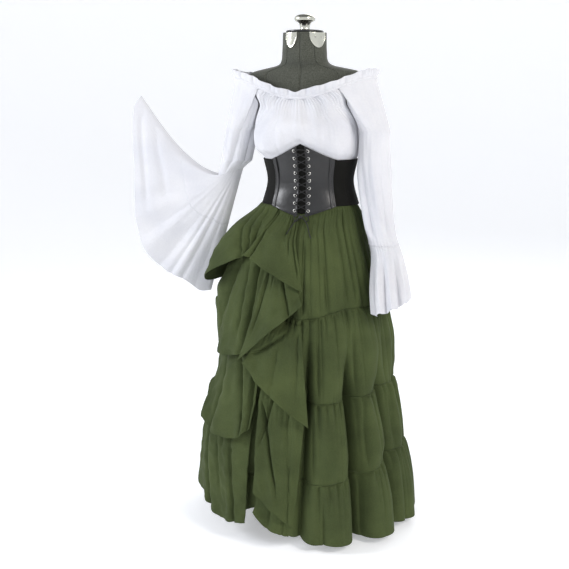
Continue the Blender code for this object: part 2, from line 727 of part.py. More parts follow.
def grommet_angle(height):
    half_width = row_at(FORM, height)[0] + CORSET_OUT
    return math.degrees(math.asin(GROMMET_X / half_width))


def grommet_height(n):
    return blend(GROMMET_LOW, GROMMET_HIGH, n / (GROMMET_PAIRS - 1))


def on_corset(side, height, out):
    return form_point(side * grommet_angle(height), height, CORSET_OUT + out)


def build_grommets(steel):
    sides = 6
    for n in range(GROMMET_PAIRS):
        for side, label in ((1, "left"), (-1, "right")):
            height = grommet_height(n)
            centre = on_corset(side, height, GROMMET_SEAT)
            up = (on_corset(side, height + 0.004, 0.0) - on_corset(side, height - 0.004, 0.0)).normalized()
            near = form_point(side * grommet_angle(height) - 2.0, height, CORSET_OUT)
            far = form_point(side * grommet_angle(height) + 2.0, height, CORSET_OUT)
            across = (far - near).normalized()
            face = across.cross(up).normalized()
            points, faces = [], []
            for s in range(sides):
                a = math.tau * s / sides
                spoke = across * math.cos(a) + up * math.sin(a)
                for radius, lift in ((GROMMET_OUTER, 0.0), (GROMMET_OUTER * 0.86, GROMMET_THICK),
                                     (GROMMET_INNER, GROMMET_THICK * 0.8), (GROMMET_INNER, 0.0)):
                    points.append(centre + spoke * radius + face * lift)
            for s in range(sides):
                here, there = s * 4, (s + 1) % sides * 4
                for k in range(4):
                    faces.append((here + k, there + k, there + (k + 1) % 4, here + (k + 1) % 4))
            add_mesh(f"grommet_{label}_{n + 1}", points, faces, steel)


def lace_route():
    """Up one zigzag, over the top pair and down the other, a cord's thickness higher."""
    route = []

    def climb(order, first_side, out):
        side = first_side
        for place, n in enumerate(order):
            route.append(on_corset(side, grommet_height(n), out))
            if place < len(order) - 1:
                middle = (grommet_height(n) + grommet_height(order[place + 1])) / 2
                route.append(form_point(0.0, middle, CORSET_OUT + out))
            side = -side
        return side

    side = climb(range(GROMMET_PAIRS), 1, LACE_UNDER)
    top = GROMMET_PAIRS - 1
    route.append(form_point(0.0, grommet_height(top) + 0.003, CORSET_OUT + LACE_OVER))
    climb(range(top, -1, -1), side, LACE_OVER)
    return route


BOW_CENTRE_ANGLE, BOW_HEIGHT, BOW_OUT, KNOT_OUT = 1.0, 0.911, 0.0218, 0.0036


def bow_point(across, up, out):
    centre = form_point(BOW_CENTRE_ANGLE, BOW_HEIGHT, BOW_OUT)
    return centre + Vector((across, -out, up))


def end_route(side, turn, drop, over, count):
    """A free end: out of the knot's side, then down over the skirt."""
    route = []
    for n in range(count):
        share = n / (count - 1)
        rest = skirt_point(side * (4.0 + turn * share), BOW_HEIGHT - 0.004 - drop * share**1.2, over)
        start = bow_point(side * (0.0066 + 0.010 * share), -0.0015 - 0.3 * drop * share, KNOT_OUT)
        route.append(start.lerp(rest, smooth((share - 0.04) / 0.5)))
    return route


def build_lacing(cord):
    tube("lace_lattice", lace_route(), LACE_RADIUS, cord)
    loop = []
    for n in range(25):
        t = math.tau * (n / 24) * 0.94 + 0.19
        loop.append(bow_point(0.021 * math.sin(t), 0.0095 * math.sin(2 * t) - 0.004 * abs(math.sin(t)),
                              -0.0030 + 0.0030 * math.cos(t)))
    tube("lace_bow", loop, LACE_RADIUS, cord)
    points, faces = [], []
    rings, sides = 6, 8
    for r in range(rings + 1):
        polar = math.pi * r / rings
        count = 1 if r in (0, rings) else sides
        for s in range(count):
            a = math.tau * s / sides
            points.append(bow_point(0.0058 * math.sin(polar) * math.cos(a), 0.0048 * math.sin(polar) * math.sin(a),
                                    KNOT_OUT + 0.0036 * math.cos(polar)))
    last = len(points) - 1
    for s in range(sides):
        nxt = (s + 1) % sides
        faces.append((0, 1 + s, 1 + nxt))
        for r in range(rings - 2):
            a, b = 1 + r * sides, 1 + (r + 1) * sides
            faces.append((a + s, b + s, b + nxt, a + nxt))
        ring = 1 + (rings - 2) * sides
        faces.append((ring + s, last, ring + nxt))
    add_mesh("lace_knot", points, faces, cord)
    tube("lace_end_left", end_route(1, 10.0, 0.050, 0.0085, 14), LACE_RADIUS, cord, 2)
    tube("lace_end_right", end_route(-1, 5.0, 0.040, 0.0170, 12), LACE_RADIUS, cord, 2)


# Skirt

def build_skirt(cotton):
    columns = 72

    def first(r, c):
        angle = 360.0 * c / columns
        edge = corset_bottom(angle)
        seam = row_at(SEAMS, signed(angle))[0]
        height = (SKIRT_TOP, edge + 0.001, edge - 0.018, edge - 0.060, seam + SEAM_GAP / 2)[r]
        return skirt_cloth(angle, height)
    wall("skirt_tier_1", first, 5, columns, cotton, wrap=True)

    for tier in (2, 3, 4):
        def lower(r, c, tier=tier):
            angle = 360.0 * c / columns
            hem = HEM + row_at(HEM_LIFT, signed(angle))[0]
            seams = [*row_at(SEAMS, signed(angle)), hem - SEAM_GAP / 2]
            top, bottom = seams[tier - 2] - SEAM_GAP / 2, seams[tier - 1] + SEAM_GAP / 2
            return skirt_cloth(angle, blend(top, bottom, (0.0, 0.14, 1.0)[r]))
        wall(f"skirt_tier_{tier}", lower, 3, columns, cotton, wrap=True)


def flap_point(flap, u, v):
    name, top, bottom, top_out, bottom_out, bulge, ripple, seat = flap
    top_angle, top_height = straight_at(top, u)
    if top_height < 0.0:
        top_height = corset_bottom(top_angle) - SEAM_GAP
    low_angle, low_height = straight_at(bottom, u)
    angle, height = blend(top_angle, low_angle, v), blend(top_height, low_height, v)
    growth = v**0.9 if top[0][1] < 0.0 else v**1.3
    out = blend(top_out, bottom_out, growth)
    out += bulge * math.sin(math.pi * min(1.0, u * 1.1)) ** 1.2 * math.sin(math.pi * HIP_CREST * v) ** 0.8
    out += ripple * v * math.sin(math.radians(360.0 * 2.5 * u + 30.0))
    tuck_from, tuck_rate = (0.66, smooth((v - 0.3) / 0.6)) if name.startswith("cascade") else (0.78, 0.5)
    if seat or name.startswith("cascade"):
        out -= TUCK_DEPTH * smooth((u - tuck_from) / (1.0 - tuck_from)) * tuck_rate
    if name in SIDE_EDGES:
        taken, clearance = SIDE_EDGES[name]
        edge = row_at(tuple(zip(FLAP_ROWS, clearance)), v)[0]
        out = blend(cloth_out(angle, height) + edge, out, smooth(u / taken))
    if seat:
        out = blend(cloth_out(angle, height) + WALL + seat, out, smooth(v / FLAP_ROWS[1]))
    return skirt_point(angle, height, out)


def build_flaps(cotton):
    for flap in FLAPS:
        def surface(r, c, flap=flap):
            return flap_point(flap, c / (FLAP_COLUMNS - 1), FLAP_ROWS[r])
        wall(flap[0], surface, len(FLAP_ROWS), FLAP_COLUMNS, cotton)


def main():
    for startup in list(bpy.data.objects):
        bpy.data.objects.remove(startup, do_unlink=True)
    green = material("green cotton", (0.080, 0.114, 0.032), 0.9)
    white = material("white rayon", (0.75, 0.75, 0.80), 0.75)
    vinyl = material("black vinyl", (0.03, 0.03, 0.032), 0.3)
    elastic = material("black elastic", (0.021, 0.021, 0.018), 0.85)
    cord = material("black lace", (0.01, 0.01, 0.01), 0.6)
    jersey = material("grey jersey", (0.115, 0.120, 0.098), 0.9)
    enamel = material("black enamel", (0.02, 0.02, 0.02), 0.35)
    iron = material("painted iron", (0.025, 0.025, 0.027), 0.4)
    steel = material("nickel steel", (0.55, 0.55, 0.54), 0.3, 1.0)
    chrome = material("chrome", (0.65, 0.65, 0.62), 0.12, 1.0)
    build_form(jersey, enamel, chrome, iron)
    build_chemise_body(white)
    build_sleeve_left(white)
    build_flounce_left(white)
    build_sleeve_right(white)
    build_flounce_right(white)
    build_neckline(white)
    build_corset(vinyl, elastic)
    build_grommets(steel)
    build_lacing(cord)
    build_skirt(green)
    build_flaps(green)


main()
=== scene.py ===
"""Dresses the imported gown: chemise, cincher, lacing, hitched skirt, dress form, studio and camera.

Metres, +Z up, front towards -Y, the wearer's left towards +X. Angles run in degrees from the centre front
towards +X. The tables and formulas of the main shapes are those of the part's source. The finer gathers,
creases and seams are added here.
"""

import logging
import math
from dataclasses import dataclass
from enum import Enum
from typing import Callable, Sequence

import bpy
import numpy as np
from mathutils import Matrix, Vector


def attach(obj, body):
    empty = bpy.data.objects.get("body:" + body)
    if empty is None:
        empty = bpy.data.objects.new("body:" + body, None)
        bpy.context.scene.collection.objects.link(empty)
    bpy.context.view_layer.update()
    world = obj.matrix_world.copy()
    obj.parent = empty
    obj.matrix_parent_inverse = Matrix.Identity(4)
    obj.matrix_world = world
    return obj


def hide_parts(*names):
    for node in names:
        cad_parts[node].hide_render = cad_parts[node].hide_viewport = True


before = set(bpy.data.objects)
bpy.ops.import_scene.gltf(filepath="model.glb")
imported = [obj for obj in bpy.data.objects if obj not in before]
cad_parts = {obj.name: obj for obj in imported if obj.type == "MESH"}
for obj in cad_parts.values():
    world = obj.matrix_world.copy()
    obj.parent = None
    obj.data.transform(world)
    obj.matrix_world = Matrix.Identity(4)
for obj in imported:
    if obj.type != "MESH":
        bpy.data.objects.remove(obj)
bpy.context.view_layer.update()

log = logging.getLogger("gown")

Array = np.ndarray
Number = float | Array

BODY = "root"
CLOTH = 0.0014
SEAM_GAP = 0.0006
SEAM_TUCK = 0.0040

# Blender's wave texture repeats every 2 pi / 20 at scale 1, so this over a width in mm is its scale
WAVE_MM = 1000.0 * math.tau / 20.0


class Slot(Enum):
    """Material slots of the record."""

    WHITE = "white_rayon"
    GREEN = "green_cotton"
    VINYL = "black_vinyl"
    ELASTIC = "black_elastic"
    LACE = "black_lace"
    JERSEY = "grey_jersey"
    ENAMEL = "black_enamel"
    IRON = "painted_iron"
    STEEL = "nickel_steel"
    CHROME = "chrome"


class Side(Enum):
    """The wearer's left, towards +X, and right."""

    LEFT = 1
    RIGHT = -1

    @property
    def label(self) -> str:
        """The side's word in node names."""
        return self.name.lower()


# Maths that the shapes share


def smooth(x: Number) -> Number:
    """An even step from 0 to 1."""
    x = np.clip(x, 0.0, 1.0)
    return x * x * (3.0 - 2.0 * x)


def blend(a: Number, b: Number, share: Number) -> Number:
    """A value a share of the way from a to b."""
    return a + (b - a) * share


def signed(angle: Number) -> Number:
    """An angle brought between -180 and 180 degrees."""
    return (np.asarray(angle) + 180.0) % 360.0 - 180.0


def pleat(phase: Number, power: float = 0.8) -> Number:
    """Round crests at +1 with narrow valleys at -1 between them."""
    return 2.0 * np.abs(np.cos(np.asarray(phase) / 2.0)) ** power - 1.0


def wander(angle: Number, seed: float, turns: Sequence[int] = (3, 5, 8)) -> Number:
    """A slow uneven wave round the figure, between about -1 and 1."""
    a = np.radians(angle)
    waves = [np.sin(n * a + 1.7 * n * seed + seed) for n in turns]
    return sum(waves) / len(turns) * 1.5


def dent(x: Number, middle: Number, half_width: Number, power: float = 2.0) -> Number:
    """A bell of height 1 at the middle."""
    return np.exp(-np.abs((x - middle) / half_width) ** power)


class Profile:
    """A smooth curve through the rows of a short table, the first column being the key."""

    def __init__(self, rows: Sequence[Sequence[float]]) -> None:
        """Sorts the rows by their key."""
        table = np.array(rows, dtype=float)
        table = table[np.argsort(table[:, 0])]
        self.key = table[:, 0]
        self.value = table[:, 1:]

    def at(self, key: Number) -> list[Array]:
        """The table's columns at a key.

        Args:
            key: one value or an array of them.

        Returns:
            One array for each column after the first.
        """
        key = np.clip(np.asarray(key, dtype=float), self.key[0], self.key[-1])
        last = len(self.key) - 1
        high = np.clip(np.searchsorted(self.key, key, side="left"), 1, last)
        low = high - 1
        before, after = np.maximum(low - 1, 0), np.minimum(high + 1, last)
        step = self.key[high] - self.key[low]
        t = ((key - self.key[low]) / step)[..., None]
        span_low = ((self.key[high] - self.key[before]) / step)[..., None]
        span_high = ((self.key[after] - self.key[low]) / step)[..., None]
        slope_low = (self.value[high] - self.value[before]) / span_low
        slope_high = (self.value[after] - self.value[low]) / span_high
        out = (2 * t**3 - 3 * t**2 + 1) * self.value[low] + (t**3 - 2 * t**2 + t) * slope_low
        out = out + (3 * t**2 - 2 * t**3) * self.value[high] + (t**3 - t**2) * slope_high
        return [out[..., c] for c in range(out.shape[-1])]


def round_point(
    x: Number, y: Number, half_width: Number, half_depth: Number, angle: Number, height: Number
) -> Array:
    """Points on level ovals: angle 0 is the front and 90 the wearer's left."""
    a = np.radians(angle)
    across = x + half_width * np.sin(a)
    along = y - half_depth * np.cos(a)
    return np.stack(np.broadcast_arrays(across, along, height), axis=-1)


def mesh_grid(rows: Array, columns: Array) -> tuple[Array, Array]:
    """Row and column values spread over a grid."""
    r, c = np.meshgrid(rows, columns, indexing="ij")
    return r, c


def spaced(*parts: tuple[float, float, int]) -> Array:
    """Values in stretches of (start, end, count); only the last stretch holds its end."""
    lines = [np.linspace(a, b, n, endpoint=False) for a, b, n in parts]
    return np.append(np.concatenate(lines), parts[-1][1])


# Meshes


def grid_object(
    name: str, points: Array, wrap: bool = False, thick: float = CLOTH, cap: bool = False
) -> bpy.types.Object:
    """A surface over a grid of points, with UVs in metres along the cloth.

    Args:
        name: the piece's name.
        points: rows running down, columns towards +X at the front, so that faces turn outwards.
        wrap: joins the last column to the first.
        thick: the wall, laid inwards, or 0 for none.
        cap: closes the first and last row with fans.

    Returns:
        The new object, in the scene.
    """
    rows, columns = points.shape[:2]
    index = np.arange(rows * columns).reshape(rows, columns)
    left = index if wrap else index[:, :-1]
    right = np.roll(index, -1, axis=1) if wrap else index[:, 1:]
    quads = np.stack([left[:-1], left[1:], right[1:], right[:-1]], axis=-1).reshape(-1, 4)
    faces = quads.tolist()
    vertices = points.reshape(-1, 3).tolist()
    if cap:
        for row, flip in ((0, False), (rows - 1, True)):
            vertices.append(points[row].mean(axis=0).tolist())
            for a, b in zip(index[row].tolist(), np.roll(index[row], -1).tolist()):
                faces.append((len(vertices) - 1, b, a) if flip else (len(vertices) - 1, a, b))
    mesh = bpy.data.meshes.new(name)
    mesh.from_pydata(vertices, [], faces)
    mesh.shade_smooth()
    add_cloth_uv(mesh, points, wrap, len(quads))
    made = bpy.data.objects.new(name, mesh)
    bpy.context.scene.collection.objects.link(made)
    if thick > 0.0:
        wall = made.modifiers.new("cloth wall", "SOLIDIFY")
        wall.thickness = thick
        wall.offset = -1.0
        wall.use_rim_only = True
    return made


def add_cloth_uv(mesh: bpy.types.Mesh, points: Array, wrap: bool, quad_count: int) -> None:
    """Writes UVs that run in metres across and down the cloth."""
    ring = np.concatenate([points, points[:, :1]], axis=1) if wrap else points
    across = np.linalg.norm(np.diff(ring, axis=1), axis=2).mean(axis=0)
    down = np.linalg.norm(np.diff(points, axis=0), axis=2).mean(axis=1)
    u = np.concatenate([[0.0], np.cumsum(across)])
    v = -np.concatenate([[0.0], np.cumsum(down)])
    r, c = mesh_grid(np.arange(len(v) - 1), np.arange(len(u) - 1))
    corners = [(u[c + dc], v[r + dr]) for dr, dc in ((0, 0), (1, 0), (1, 1), (0, 1))]
    quads = np.stack([np.stack(corner, axis=-1) for corner in corners], axis=2).reshape(-1, 2)
    flat = np.zeros((len(mesh.loops), 2))
    flat[: quad_count * 4] = quads
    layer = mesh.uv_layers.new(name="cloth")
    layer.data.foreach_set("uv", flat.astype(np.float32).ravel())


def lathe_object(
    name: str, profile: Sequence[tuple[float, float]], centre: tuple[float, float], sides: int = 96
) -> bpy.types.Object:
    """A closed solid turned about a vertical axis: profile holds (radius, height) from the top down."""
    profile_array = np.array(profile, dtype=float)
    angles = np.linspace(0.0, 360.0, sides, endpoint=False)
    radius, a = mesh_grid(profile_array[:, 0], angles)
    height, _ = mesh_grid(profile_array[:, 1], angles)
    points = round_point(centre[0], centre[1], radius, radius, a, height)
    return grid_object(name, points, wrap=True, thick=0.0, cap=True)


def rounded(
    profile: Sequence[tuple[float, float]], bevel: float, steps: int = 4
) -> list[tuple[float, float]]:
    """A profile with its inner corners rounded off."""
    out = [profile[0]]
    for before, here, after in zip(profile, profile[1:], profile[2:]):
        p = np.array(here, dtype=float)
        ends = []
        for other in (before, after):
            step = np.array(other, dtype=float) - p
            length = np.linalg.norm(step)
            ends.append(p + step / length * min(bevel, length / 2.0))
        for t in np.linspace(0.0, 1.0, steps + 1):
            q = (1 - t) ** 2 * ends[0] + 2 * t * (1 - t) * p + t**2 * ends[1]
            out.append((float(q[0]), float(q[1])))
    out.append(profile[-1])
    return out


def cord_object(name: str, route: Array, radius: float) -> bpy.types.Object:
    """A round cord along one open line of points."""
    curve = bpy.data.curves.new(name, "CURVE")
    curve.dimensions = "3D"
    curve.bevel_depth = radius
    curve.bevel_resolution = 4
    curve.use_fill_caps = True
    spline = curve.splines.new("POLY")
    spline.points.add(len(route) - 1)
    for point, place in zip(spline.points, route):
        point.co = (*[float(x) for x in place], 1.0)
    made = bpy.data.objects.new(name, curve)
    bpy.context.scene.collection.objects.link(made)
    return made


def through(points: Array, per_stretch: int) -> Array:
    """A smooth line through points."""
    keys = np.arange(len(points), dtype=float)
    curve = Profile(np.column_stack([keys, points]))
    dense = np.linspace(0.0, keys[-1], (len(points) - 1) * per_stretch + 1)
    return np.stack(curve.at(dense), axis=-1)


def dress(
    made: bpy.types.Object, finish: bpy.types.Material, slot: Slot, *nodes: str
) -> bpy.types.Object:
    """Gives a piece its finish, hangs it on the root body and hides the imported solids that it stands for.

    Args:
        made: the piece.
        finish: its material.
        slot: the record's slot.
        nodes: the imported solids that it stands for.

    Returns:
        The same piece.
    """
    made.data.materials.append(finish)
    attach(made, BODY)
    if nodes:
        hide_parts(*nodes)
    log.info("%s: %d points, %s", made.name, point_count(made), slot.value)
    return made


def point_count(made: bpy.types.Object) -> int:
    """How many points a mesh or a curve holds."""
    if made.type == "CURVE":
        return sum(len(spline.points) for spline in made.data.splines)
    return len(made.data.vertices)


# Finishes


def linear(hex_colour: str) -> tuple[float, float, float, float]:
    """An sRGB hex colour as linear RGBA."""
    parts = [int(hex_colour[i : i + 2], 16) / 255.0 for i in (1, 3, 5)]
    out = [c / 12.92 if c <= 0.04045 else ((c + 0.055) / 1.055) ** 2.4 for c in parts]
    return (out[0], out[1], out[2], 1.0)


def add_node(
    tree: bpy.types.NodeTree,
    kind: str,
    settings: dict[str, object] | None = None,
    inputs: dict[str, object] | None = None,
    links: dict[str, bpy.types.NodeSocket] | None = None,
) -> bpy.types.Node:
    """Adds one node.

    Args:
        tree: the material's node tree.
        kind: Blender's name of the node type.
        settings: attributes of the node.
        inputs: values of its sockets.
        links: sockets that feed its own, by name.

    Returns:
        The new node.
    """
    node = tree.nodes.new(kind)
    for name, value in (settings or {}).items():
        setattr(node, name, value)
    for name, value in (inputs or {}).items():
        node.inputs[name].default_value = value
    for name, source in (links or {}).items():
        tree.links.new(source, node.inputs[name])
    return node


def new_material(name: str) -> tuple[bpy.types.Material, bpy.types.NodeTree, bpy.types.Node]:
    """A material with its tree and its main shader."""
    made = bpy.data.materials.new(name)
    made.use_nodes = True
    tree = made.node_tree
    return made, tree, tree.nodes["Principled BSDF"]


@dataclass(frozen=True)
class WovenCloth:
    """A plain-woven cloth: dull, a little fuzzy at grazing angles, with threads and soft creasing.

    The threads are drawn coarser than the real 0.4 mm, so that they show from a step away.
    """

    name: str
    colour: str
    shade: str
    thread_mm: float
    crease_mm: float
    crease_height_mm: float
    stretch: float
    roughness: float
    sheen: float

    def make(self) -> bpy.types.Material:
        """The cloth's material."""
        made, tree, shader = new_material(self.name)
        uv = add_node(tree, "ShaderNodeUVMap", {"uv_map": "cloth"}).outputs["UV"]
        place = add_node(tree, "ShaderNodeTexCoord").outputs["Object"]
        patches = add_node(
            tree, "ShaderNodeTexNoise", inputs={"Scale": 9.0, "Detail": 4.0}, links={"Vector": place}
        )
        slubs = add_node(
            tree,
            "ShaderNodeTexNoise",
            inputs={"Scale": 1000.0 / (self.thread_mm * 3.0), "Detail": 3.0},
            links={"Vector": uv},
        )
        both = add_node(
            tree,
            "ShaderNodeMath",
            {"operation": "MULTIPLY_ADD"},
            {1: 0.35},
            {0: slubs.outputs["Fac"], 2: patches.outputs["Fac"]},
        )
        ramp = add_node(tree, "ShaderNodeValToRGB", links={"Fac": both.outputs["Value"]})
        ramp.color_ramp.elements[0].position = 0.45
        ramp.color_ramp.elements[0].color = linear(self.shade)
        ramp.color_ramp.elements[1].position = 0.90
        ramp.color_ramp.elements[1].color = linear(self.colour)
        tree.links.new(ramp.outputs["Color"], shader.inputs["Base Color"])
        threads = []
        for axis in ("X", "Y"):
            wave = add_node(
                tree,
                "ShaderNodeTexWave",
                {"wave_type": "BANDS", "bands_direction": axis},
                {"Scale": WAVE_MM / self.thread_mm, "Distortion": 1.2, "Detail": 1.0},
                {"Vector": uv},
            )
            threads.append(wave.outputs["Fac"])
        weave = add_node(
            tree, "ShaderNodeMath", {"operation": "ADD"}, links={0: threads[0], 1: threads[1]}
        )
        stretched = add_node(
            tree,
            "ShaderNodeMapping",
            inputs={"Scale": (1.0, self.stretch, 1.0)},
            links={"Vector": uv},
        )
        creases = add_node(
            tree,
            "ShaderNodeTexNoise",
            inputs={"Scale": 1000.0 / self.crease_mm, "Detail": 5.0, "Roughness": 0.55, "Distortion": 0.4},
            links={"Vector": stretched.outputs["Vector"]},
        )
        low = add_node(
            tree,
            "ShaderNodeBump",
            inputs={"Strength": 0.10, "Distance": 0.0004},
            links={"Height": weave.outputs["Value"]},
        )
        high = add_node(
            tree,
            "ShaderNodeBump",
            inputs={"Strength": 0.8, "Distance": self.crease_height_mm / 1000.0},
            links={"Height": creases.outputs["Fac"], "Normal": low.outputs["Normal"]},
        )
        tree.links.new(high.outputs["Normal"], shader.inputs["Normal"])
        shader.inputs["Roughness"].default_value = self.roughness
        shader.inputs["IOR"].default_value = 1.45
        shader.inputs["Specular IOR Level"].default_value = 0.25
        shader.inputs["Sheen Weight"].default_value = self.sheen
        shader.inputs["Sheen Roughness"].default_value = 0.5
        shader.inputs["Sheen Tint"].default_value = linear(self.colour)
        return made


@dataclass(frozen=True)
class EmbossedVinyl:
    """Coated vinyl: calendered with a leather grain, so highlights break up over a dark ground."""

    name: str = "embossed black vinyl"
    colour: str = "#101011"
    grain_mm: float = 2.2
    roughness: float = 0.36
    coat: float = 0.12

    def make(self) -> bpy.types.Material:
        """The vinyl's material."""
        made, tree, shader = new_material(self.name)
        uv = add_node(tree, "ShaderNodeUVMap", {"uv_map": "cloth"}).outputs["UV"]
        grain = add_node(
            tree,
            "ShaderNodeTexVoronoi",
            {"feature": "SMOOTH_F1"},
            {"Scale": 1000.0 / self.grain_mm, "Smoothness": 0.6},
            {"Vector": uv},
        )
        soft = add_node(
            tree, "ShaderNodeTexNoise", inputs={"Scale": 55.0, "Detail": 3.0}, links={"Vector": uv}
        )
        fine = add_node(
            tree,
            "ShaderNodeBump",
            inputs={"Strength": 0.35, "Distance": 0.0003},
            links={"Height": grain.outputs["Distance"]},
        )
        wavy = add_node(
            tree,
            "ShaderNodeBump",
            inputs={"Strength": 0.5, "Distance": 0.0016},
            links={"Height": soft.outputs["Fac"], "Normal": fine.outputs["Normal"]},
        )
        tree.links.new(wavy.outputs["Normal"], shader.inputs["Normal"])
        rough = add_node(
            tree,
            "ShaderNodeMapRange",
            inputs={"To Min": self.roughness - 0.08, "To Max": self.roughness + 0.10},
            links={"Value": soft.outputs["Fac"]},
        )
        tree.links.new(rough.outputs["Result"], shader.inputs["Roughness"])
        shader.inputs["Base Color"].default_value = linear(self.colour)
        shader.inputs["IOR"].default_value = 1.53
        shader.inputs["Coat Weight"].default_value = self.coat
        shader.inputs["Coat Roughness"].default_value = 0.22
        return made


@dataclass(frozen=True)
class RibbedElastic:
    """Woven elastic: dull black with upright cords, whose crests carry a painted highlight in a lighter
    colour.
    """

    name: str = "ribbed black elastic"
    colour: str = "#0c0c0a"
    # painted highlight: the lighter colour laid on the cords' crests
    crest: str = "#12120f"
    rib_mm: float = 2.2
    roughness: float = 0.82

    def make(self) -> bpy.types.Material:
        """The elastic's material."""
        made, tree, shader = new_material(self.name)
        uv = add_node(tree, "ShaderNodeUVMap", {"uv_map": "cloth"}).outputs["UV"]
        ribs = add_node(
            tree,
            "ShaderNodeTexWave",
            {"wave_type": "BANDS", "bands_direction": "X"},
            {"Scale": WAVE_MM / self.rib_mm, "Distortion": 0.3, "Detail": 1.0},
            {"Vector": uv},
        )
        # the ramp paints the raised crests lighter, a painted highlight where light would catch them
        ramp = add_node(tree, "ShaderNodeValToRGB", links={"Fac": ribs.outputs["Fac"]})
        ramp.color_ramp.elements[0].color = linear(self.colour)
        ramp.color_ramp.elements[1].color = linear(self.crest)
        tree.links.new(ramp.outputs["Color"], shader.inputs["Base Color"])
        bump = add_node(
            tree,
            "ShaderNodeBump",
            inputs={"Strength": 0.4, "Distance": 0.0004},
            links={"Height": ribs.outputs["Fac"]},
        )
        tree.links.new(bump.outputs["Normal"], shader.inputs["Normal"])
        shader.inputs["Roughness"].default_value = self.roughness
        shader.inputs["Specular IOR Level"].default_value = 0.14
        shader.inputs["Sheen Weight"].default_value = 0.03
        return made


@dataclass(frozen=True)
class BraidedCord:
    """Waxed cotton braid: a slanting rope-like pattern with a faint shine, its raised strands carrying a
    painted highlight in a lighter colour.
    """

    name: str = "black braided cord"
    colour: str = "#0f0f10"
    # painted highlight: the lighter colour laid on the braid's raised strands
    crest: str = "#141416"
    braid_mm: float = 2.0
    roughness: float = 0.55

    def make(self) -> bpy.types.Material:
        """The cord's material."""
        made, tree, shader = new_material(self.name)
        place = add_node(tree, "ShaderNodeTexCoord").outputs["Object"]
        braid = add_node(
            tree,
            "ShaderNodeTexWave",
            {"wave_type": "BANDS", "bands_direction": "DIAGONAL"},
            {"Scale": WAVE_MM / self.braid_mm, "Distortion": 1.5, "Detail": 1.0},
            {"Vector": place},
        )
        # the ramp paints the raised strands lighter, a painted highlight
        ramp = add_node(tree, "ShaderNodeValToRGB", links={"Fac": braid.outputs["Fac"]})
        ramp.color_ramp.elements[0].color = linear(self.colour)
        ramp.color_ramp.elements[1].color = linear(self.crest)
        tree.links.new(ramp.outputs["Color"], shader.inputs["Base Color"])
        bump = add_node(
            tree,
            "ShaderNodeBump",
            inputs={"Strength": 0.6, "Distance": 0.0004},
            links={"Height": braid.outputs["Fac"]},
        )
        tree.links.new(bump.outputs["Normal"], shader.inputs["Normal"])
        shader.inputs["Roughness"].default_value = self.roughness
        return made


@dataclass(frozen=True)
class KnitJersey:
    """Grey jersey over foam: a marled knit, dull, with short rows of stitches."""

    name: str = "grey marled jersey"
    colour: str = "#55574e"
    shade: str = "#3b3d36"
    stitch_mm: float = 1.8
    roughness: float = 0.92

    def make(self) -> bpy.types.Material:
        """The jersey's material."""
        made, tree, shader = new_material(self.name)
        place = add_node(tree, "ShaderNodeTexCoord").outputs["Object"]
        marl = add_node(
            tree,
            "ShaderNodeTexNoise",
            inputs={"Scale": 1000.0 / (self.stitch_mm * 1.6), "Detail": 4.0, "Roughness": 0.7},
            links={"Vector": place},
        )
        rows = add_node(
            tree,
            "ShaderNodeTexWave",
            {"wave_type": "BANDS", "bands_direction": "Z"},
            {"Scale": WAVE_MM / self.stitch_mm, "Distortion": 2.0, "Detail": 2.0},
            {"Vector": place},
        )
        ramp = add_node(tree, "ShaderNodeValToRGB", links={"Fac": marl.outputs["Fac"]})
        ramp.color_ramp.elements[0].position = 0.35
        ramp.color_ramp.elements[0].color = linear(self.shade)
        ramp.color_ramp.elements[1].position = 0.65
        ramp.color_ramp.elements[1].color = linear(self.colour)
        tree.links.new(ramp.outputs["Color"], shader.inputs["Base Color"])
        bump = add_node(
            tree,
            "ShaderNodeBump",
            inputs={"Strength": 0.4, "Distance": 0.0005},
            links={"Height": rows.outputs["Fac"]},
        )
        tree.links.new(bump.outputs["Normal"], shader.inputs["Normal"])
        shader.inputs["Roughness"].default_value = self.roughness
        shader.inputs["Sheen Weight"].default_value = 0.2
        shader.inputs["Specular IOR Level"].default_value = 0.2
        return made


@dataclass(frozen=True)
class Metal:
    """Bare or plated metal: plating follows the polish below it, and handling leaves soft smears."""

    name: str
    colour: str
    roughness: float
    smear: float

    def make(self) -> bpy.types.Material:
        """The metal's material."""
        made, tree, shader = new_material(self.name)
        place = add_node(tree, "ShaderNodeTexCoord").outputs["Object"]
        smears = add_node(
            tree, "ShaderNodeTexNoise", inputs={"Scale": 60.0, "Detail": 4.0}, links={"Vector": place}
        )
        rough = add_node(
            tree,
            "ShaderNodeMapRange",
            inputs={"To Min": self.roughness, "To Max": self.roughness + self.smear},
            links={"Value": smears.outputs["Fac"]},
        )
        tree.links.new(rough.outputs["Result"], shader.inputs["Roughness"])
        shader.inputs["Base Color"].default_value = linear(self.colour)
        shader.inputs["Metallic"].default_value = 1.0
        return made


@dataclass(frozen=True)
class Paint:
    """Baked enamel over metal: a level gloss with faint orange peel."""

    name: str
    colour: str
    roughness: float
    peel_mm: float = 3.0

    def make(self) -> bpy.types.Material:
        """The paint's material."""
        made, tree, shader = new_material(self.name)
        place = add_node(tree, "ShaderNodeTexCoord").outputs["Object"]
        peel = add_node(
            tree,
            "ShaderNodeTexNoise",
            inputs={"Scale": 1000.0 / self.peel_mm, "Detail": 2.0},
            links={"Vector": place},
        )
        bump = add_node(
            tree,
            "ShaderNodeBump",
            inputs={"Strength": 0.15, "Distance": 0.0003},
            links={"Height": peel.outputs["Fac"]},
        )
        tree.links.new(bump.outputs["Normal"], shader.inputs["Normal"])
        shader.inputs["Base Color"].default_value = linear(self.colour)
        shader.inputs["Roughness"].default_value = self.roughness
        shader.inputs["Coat Weight"].default_value = 0.3
        return made


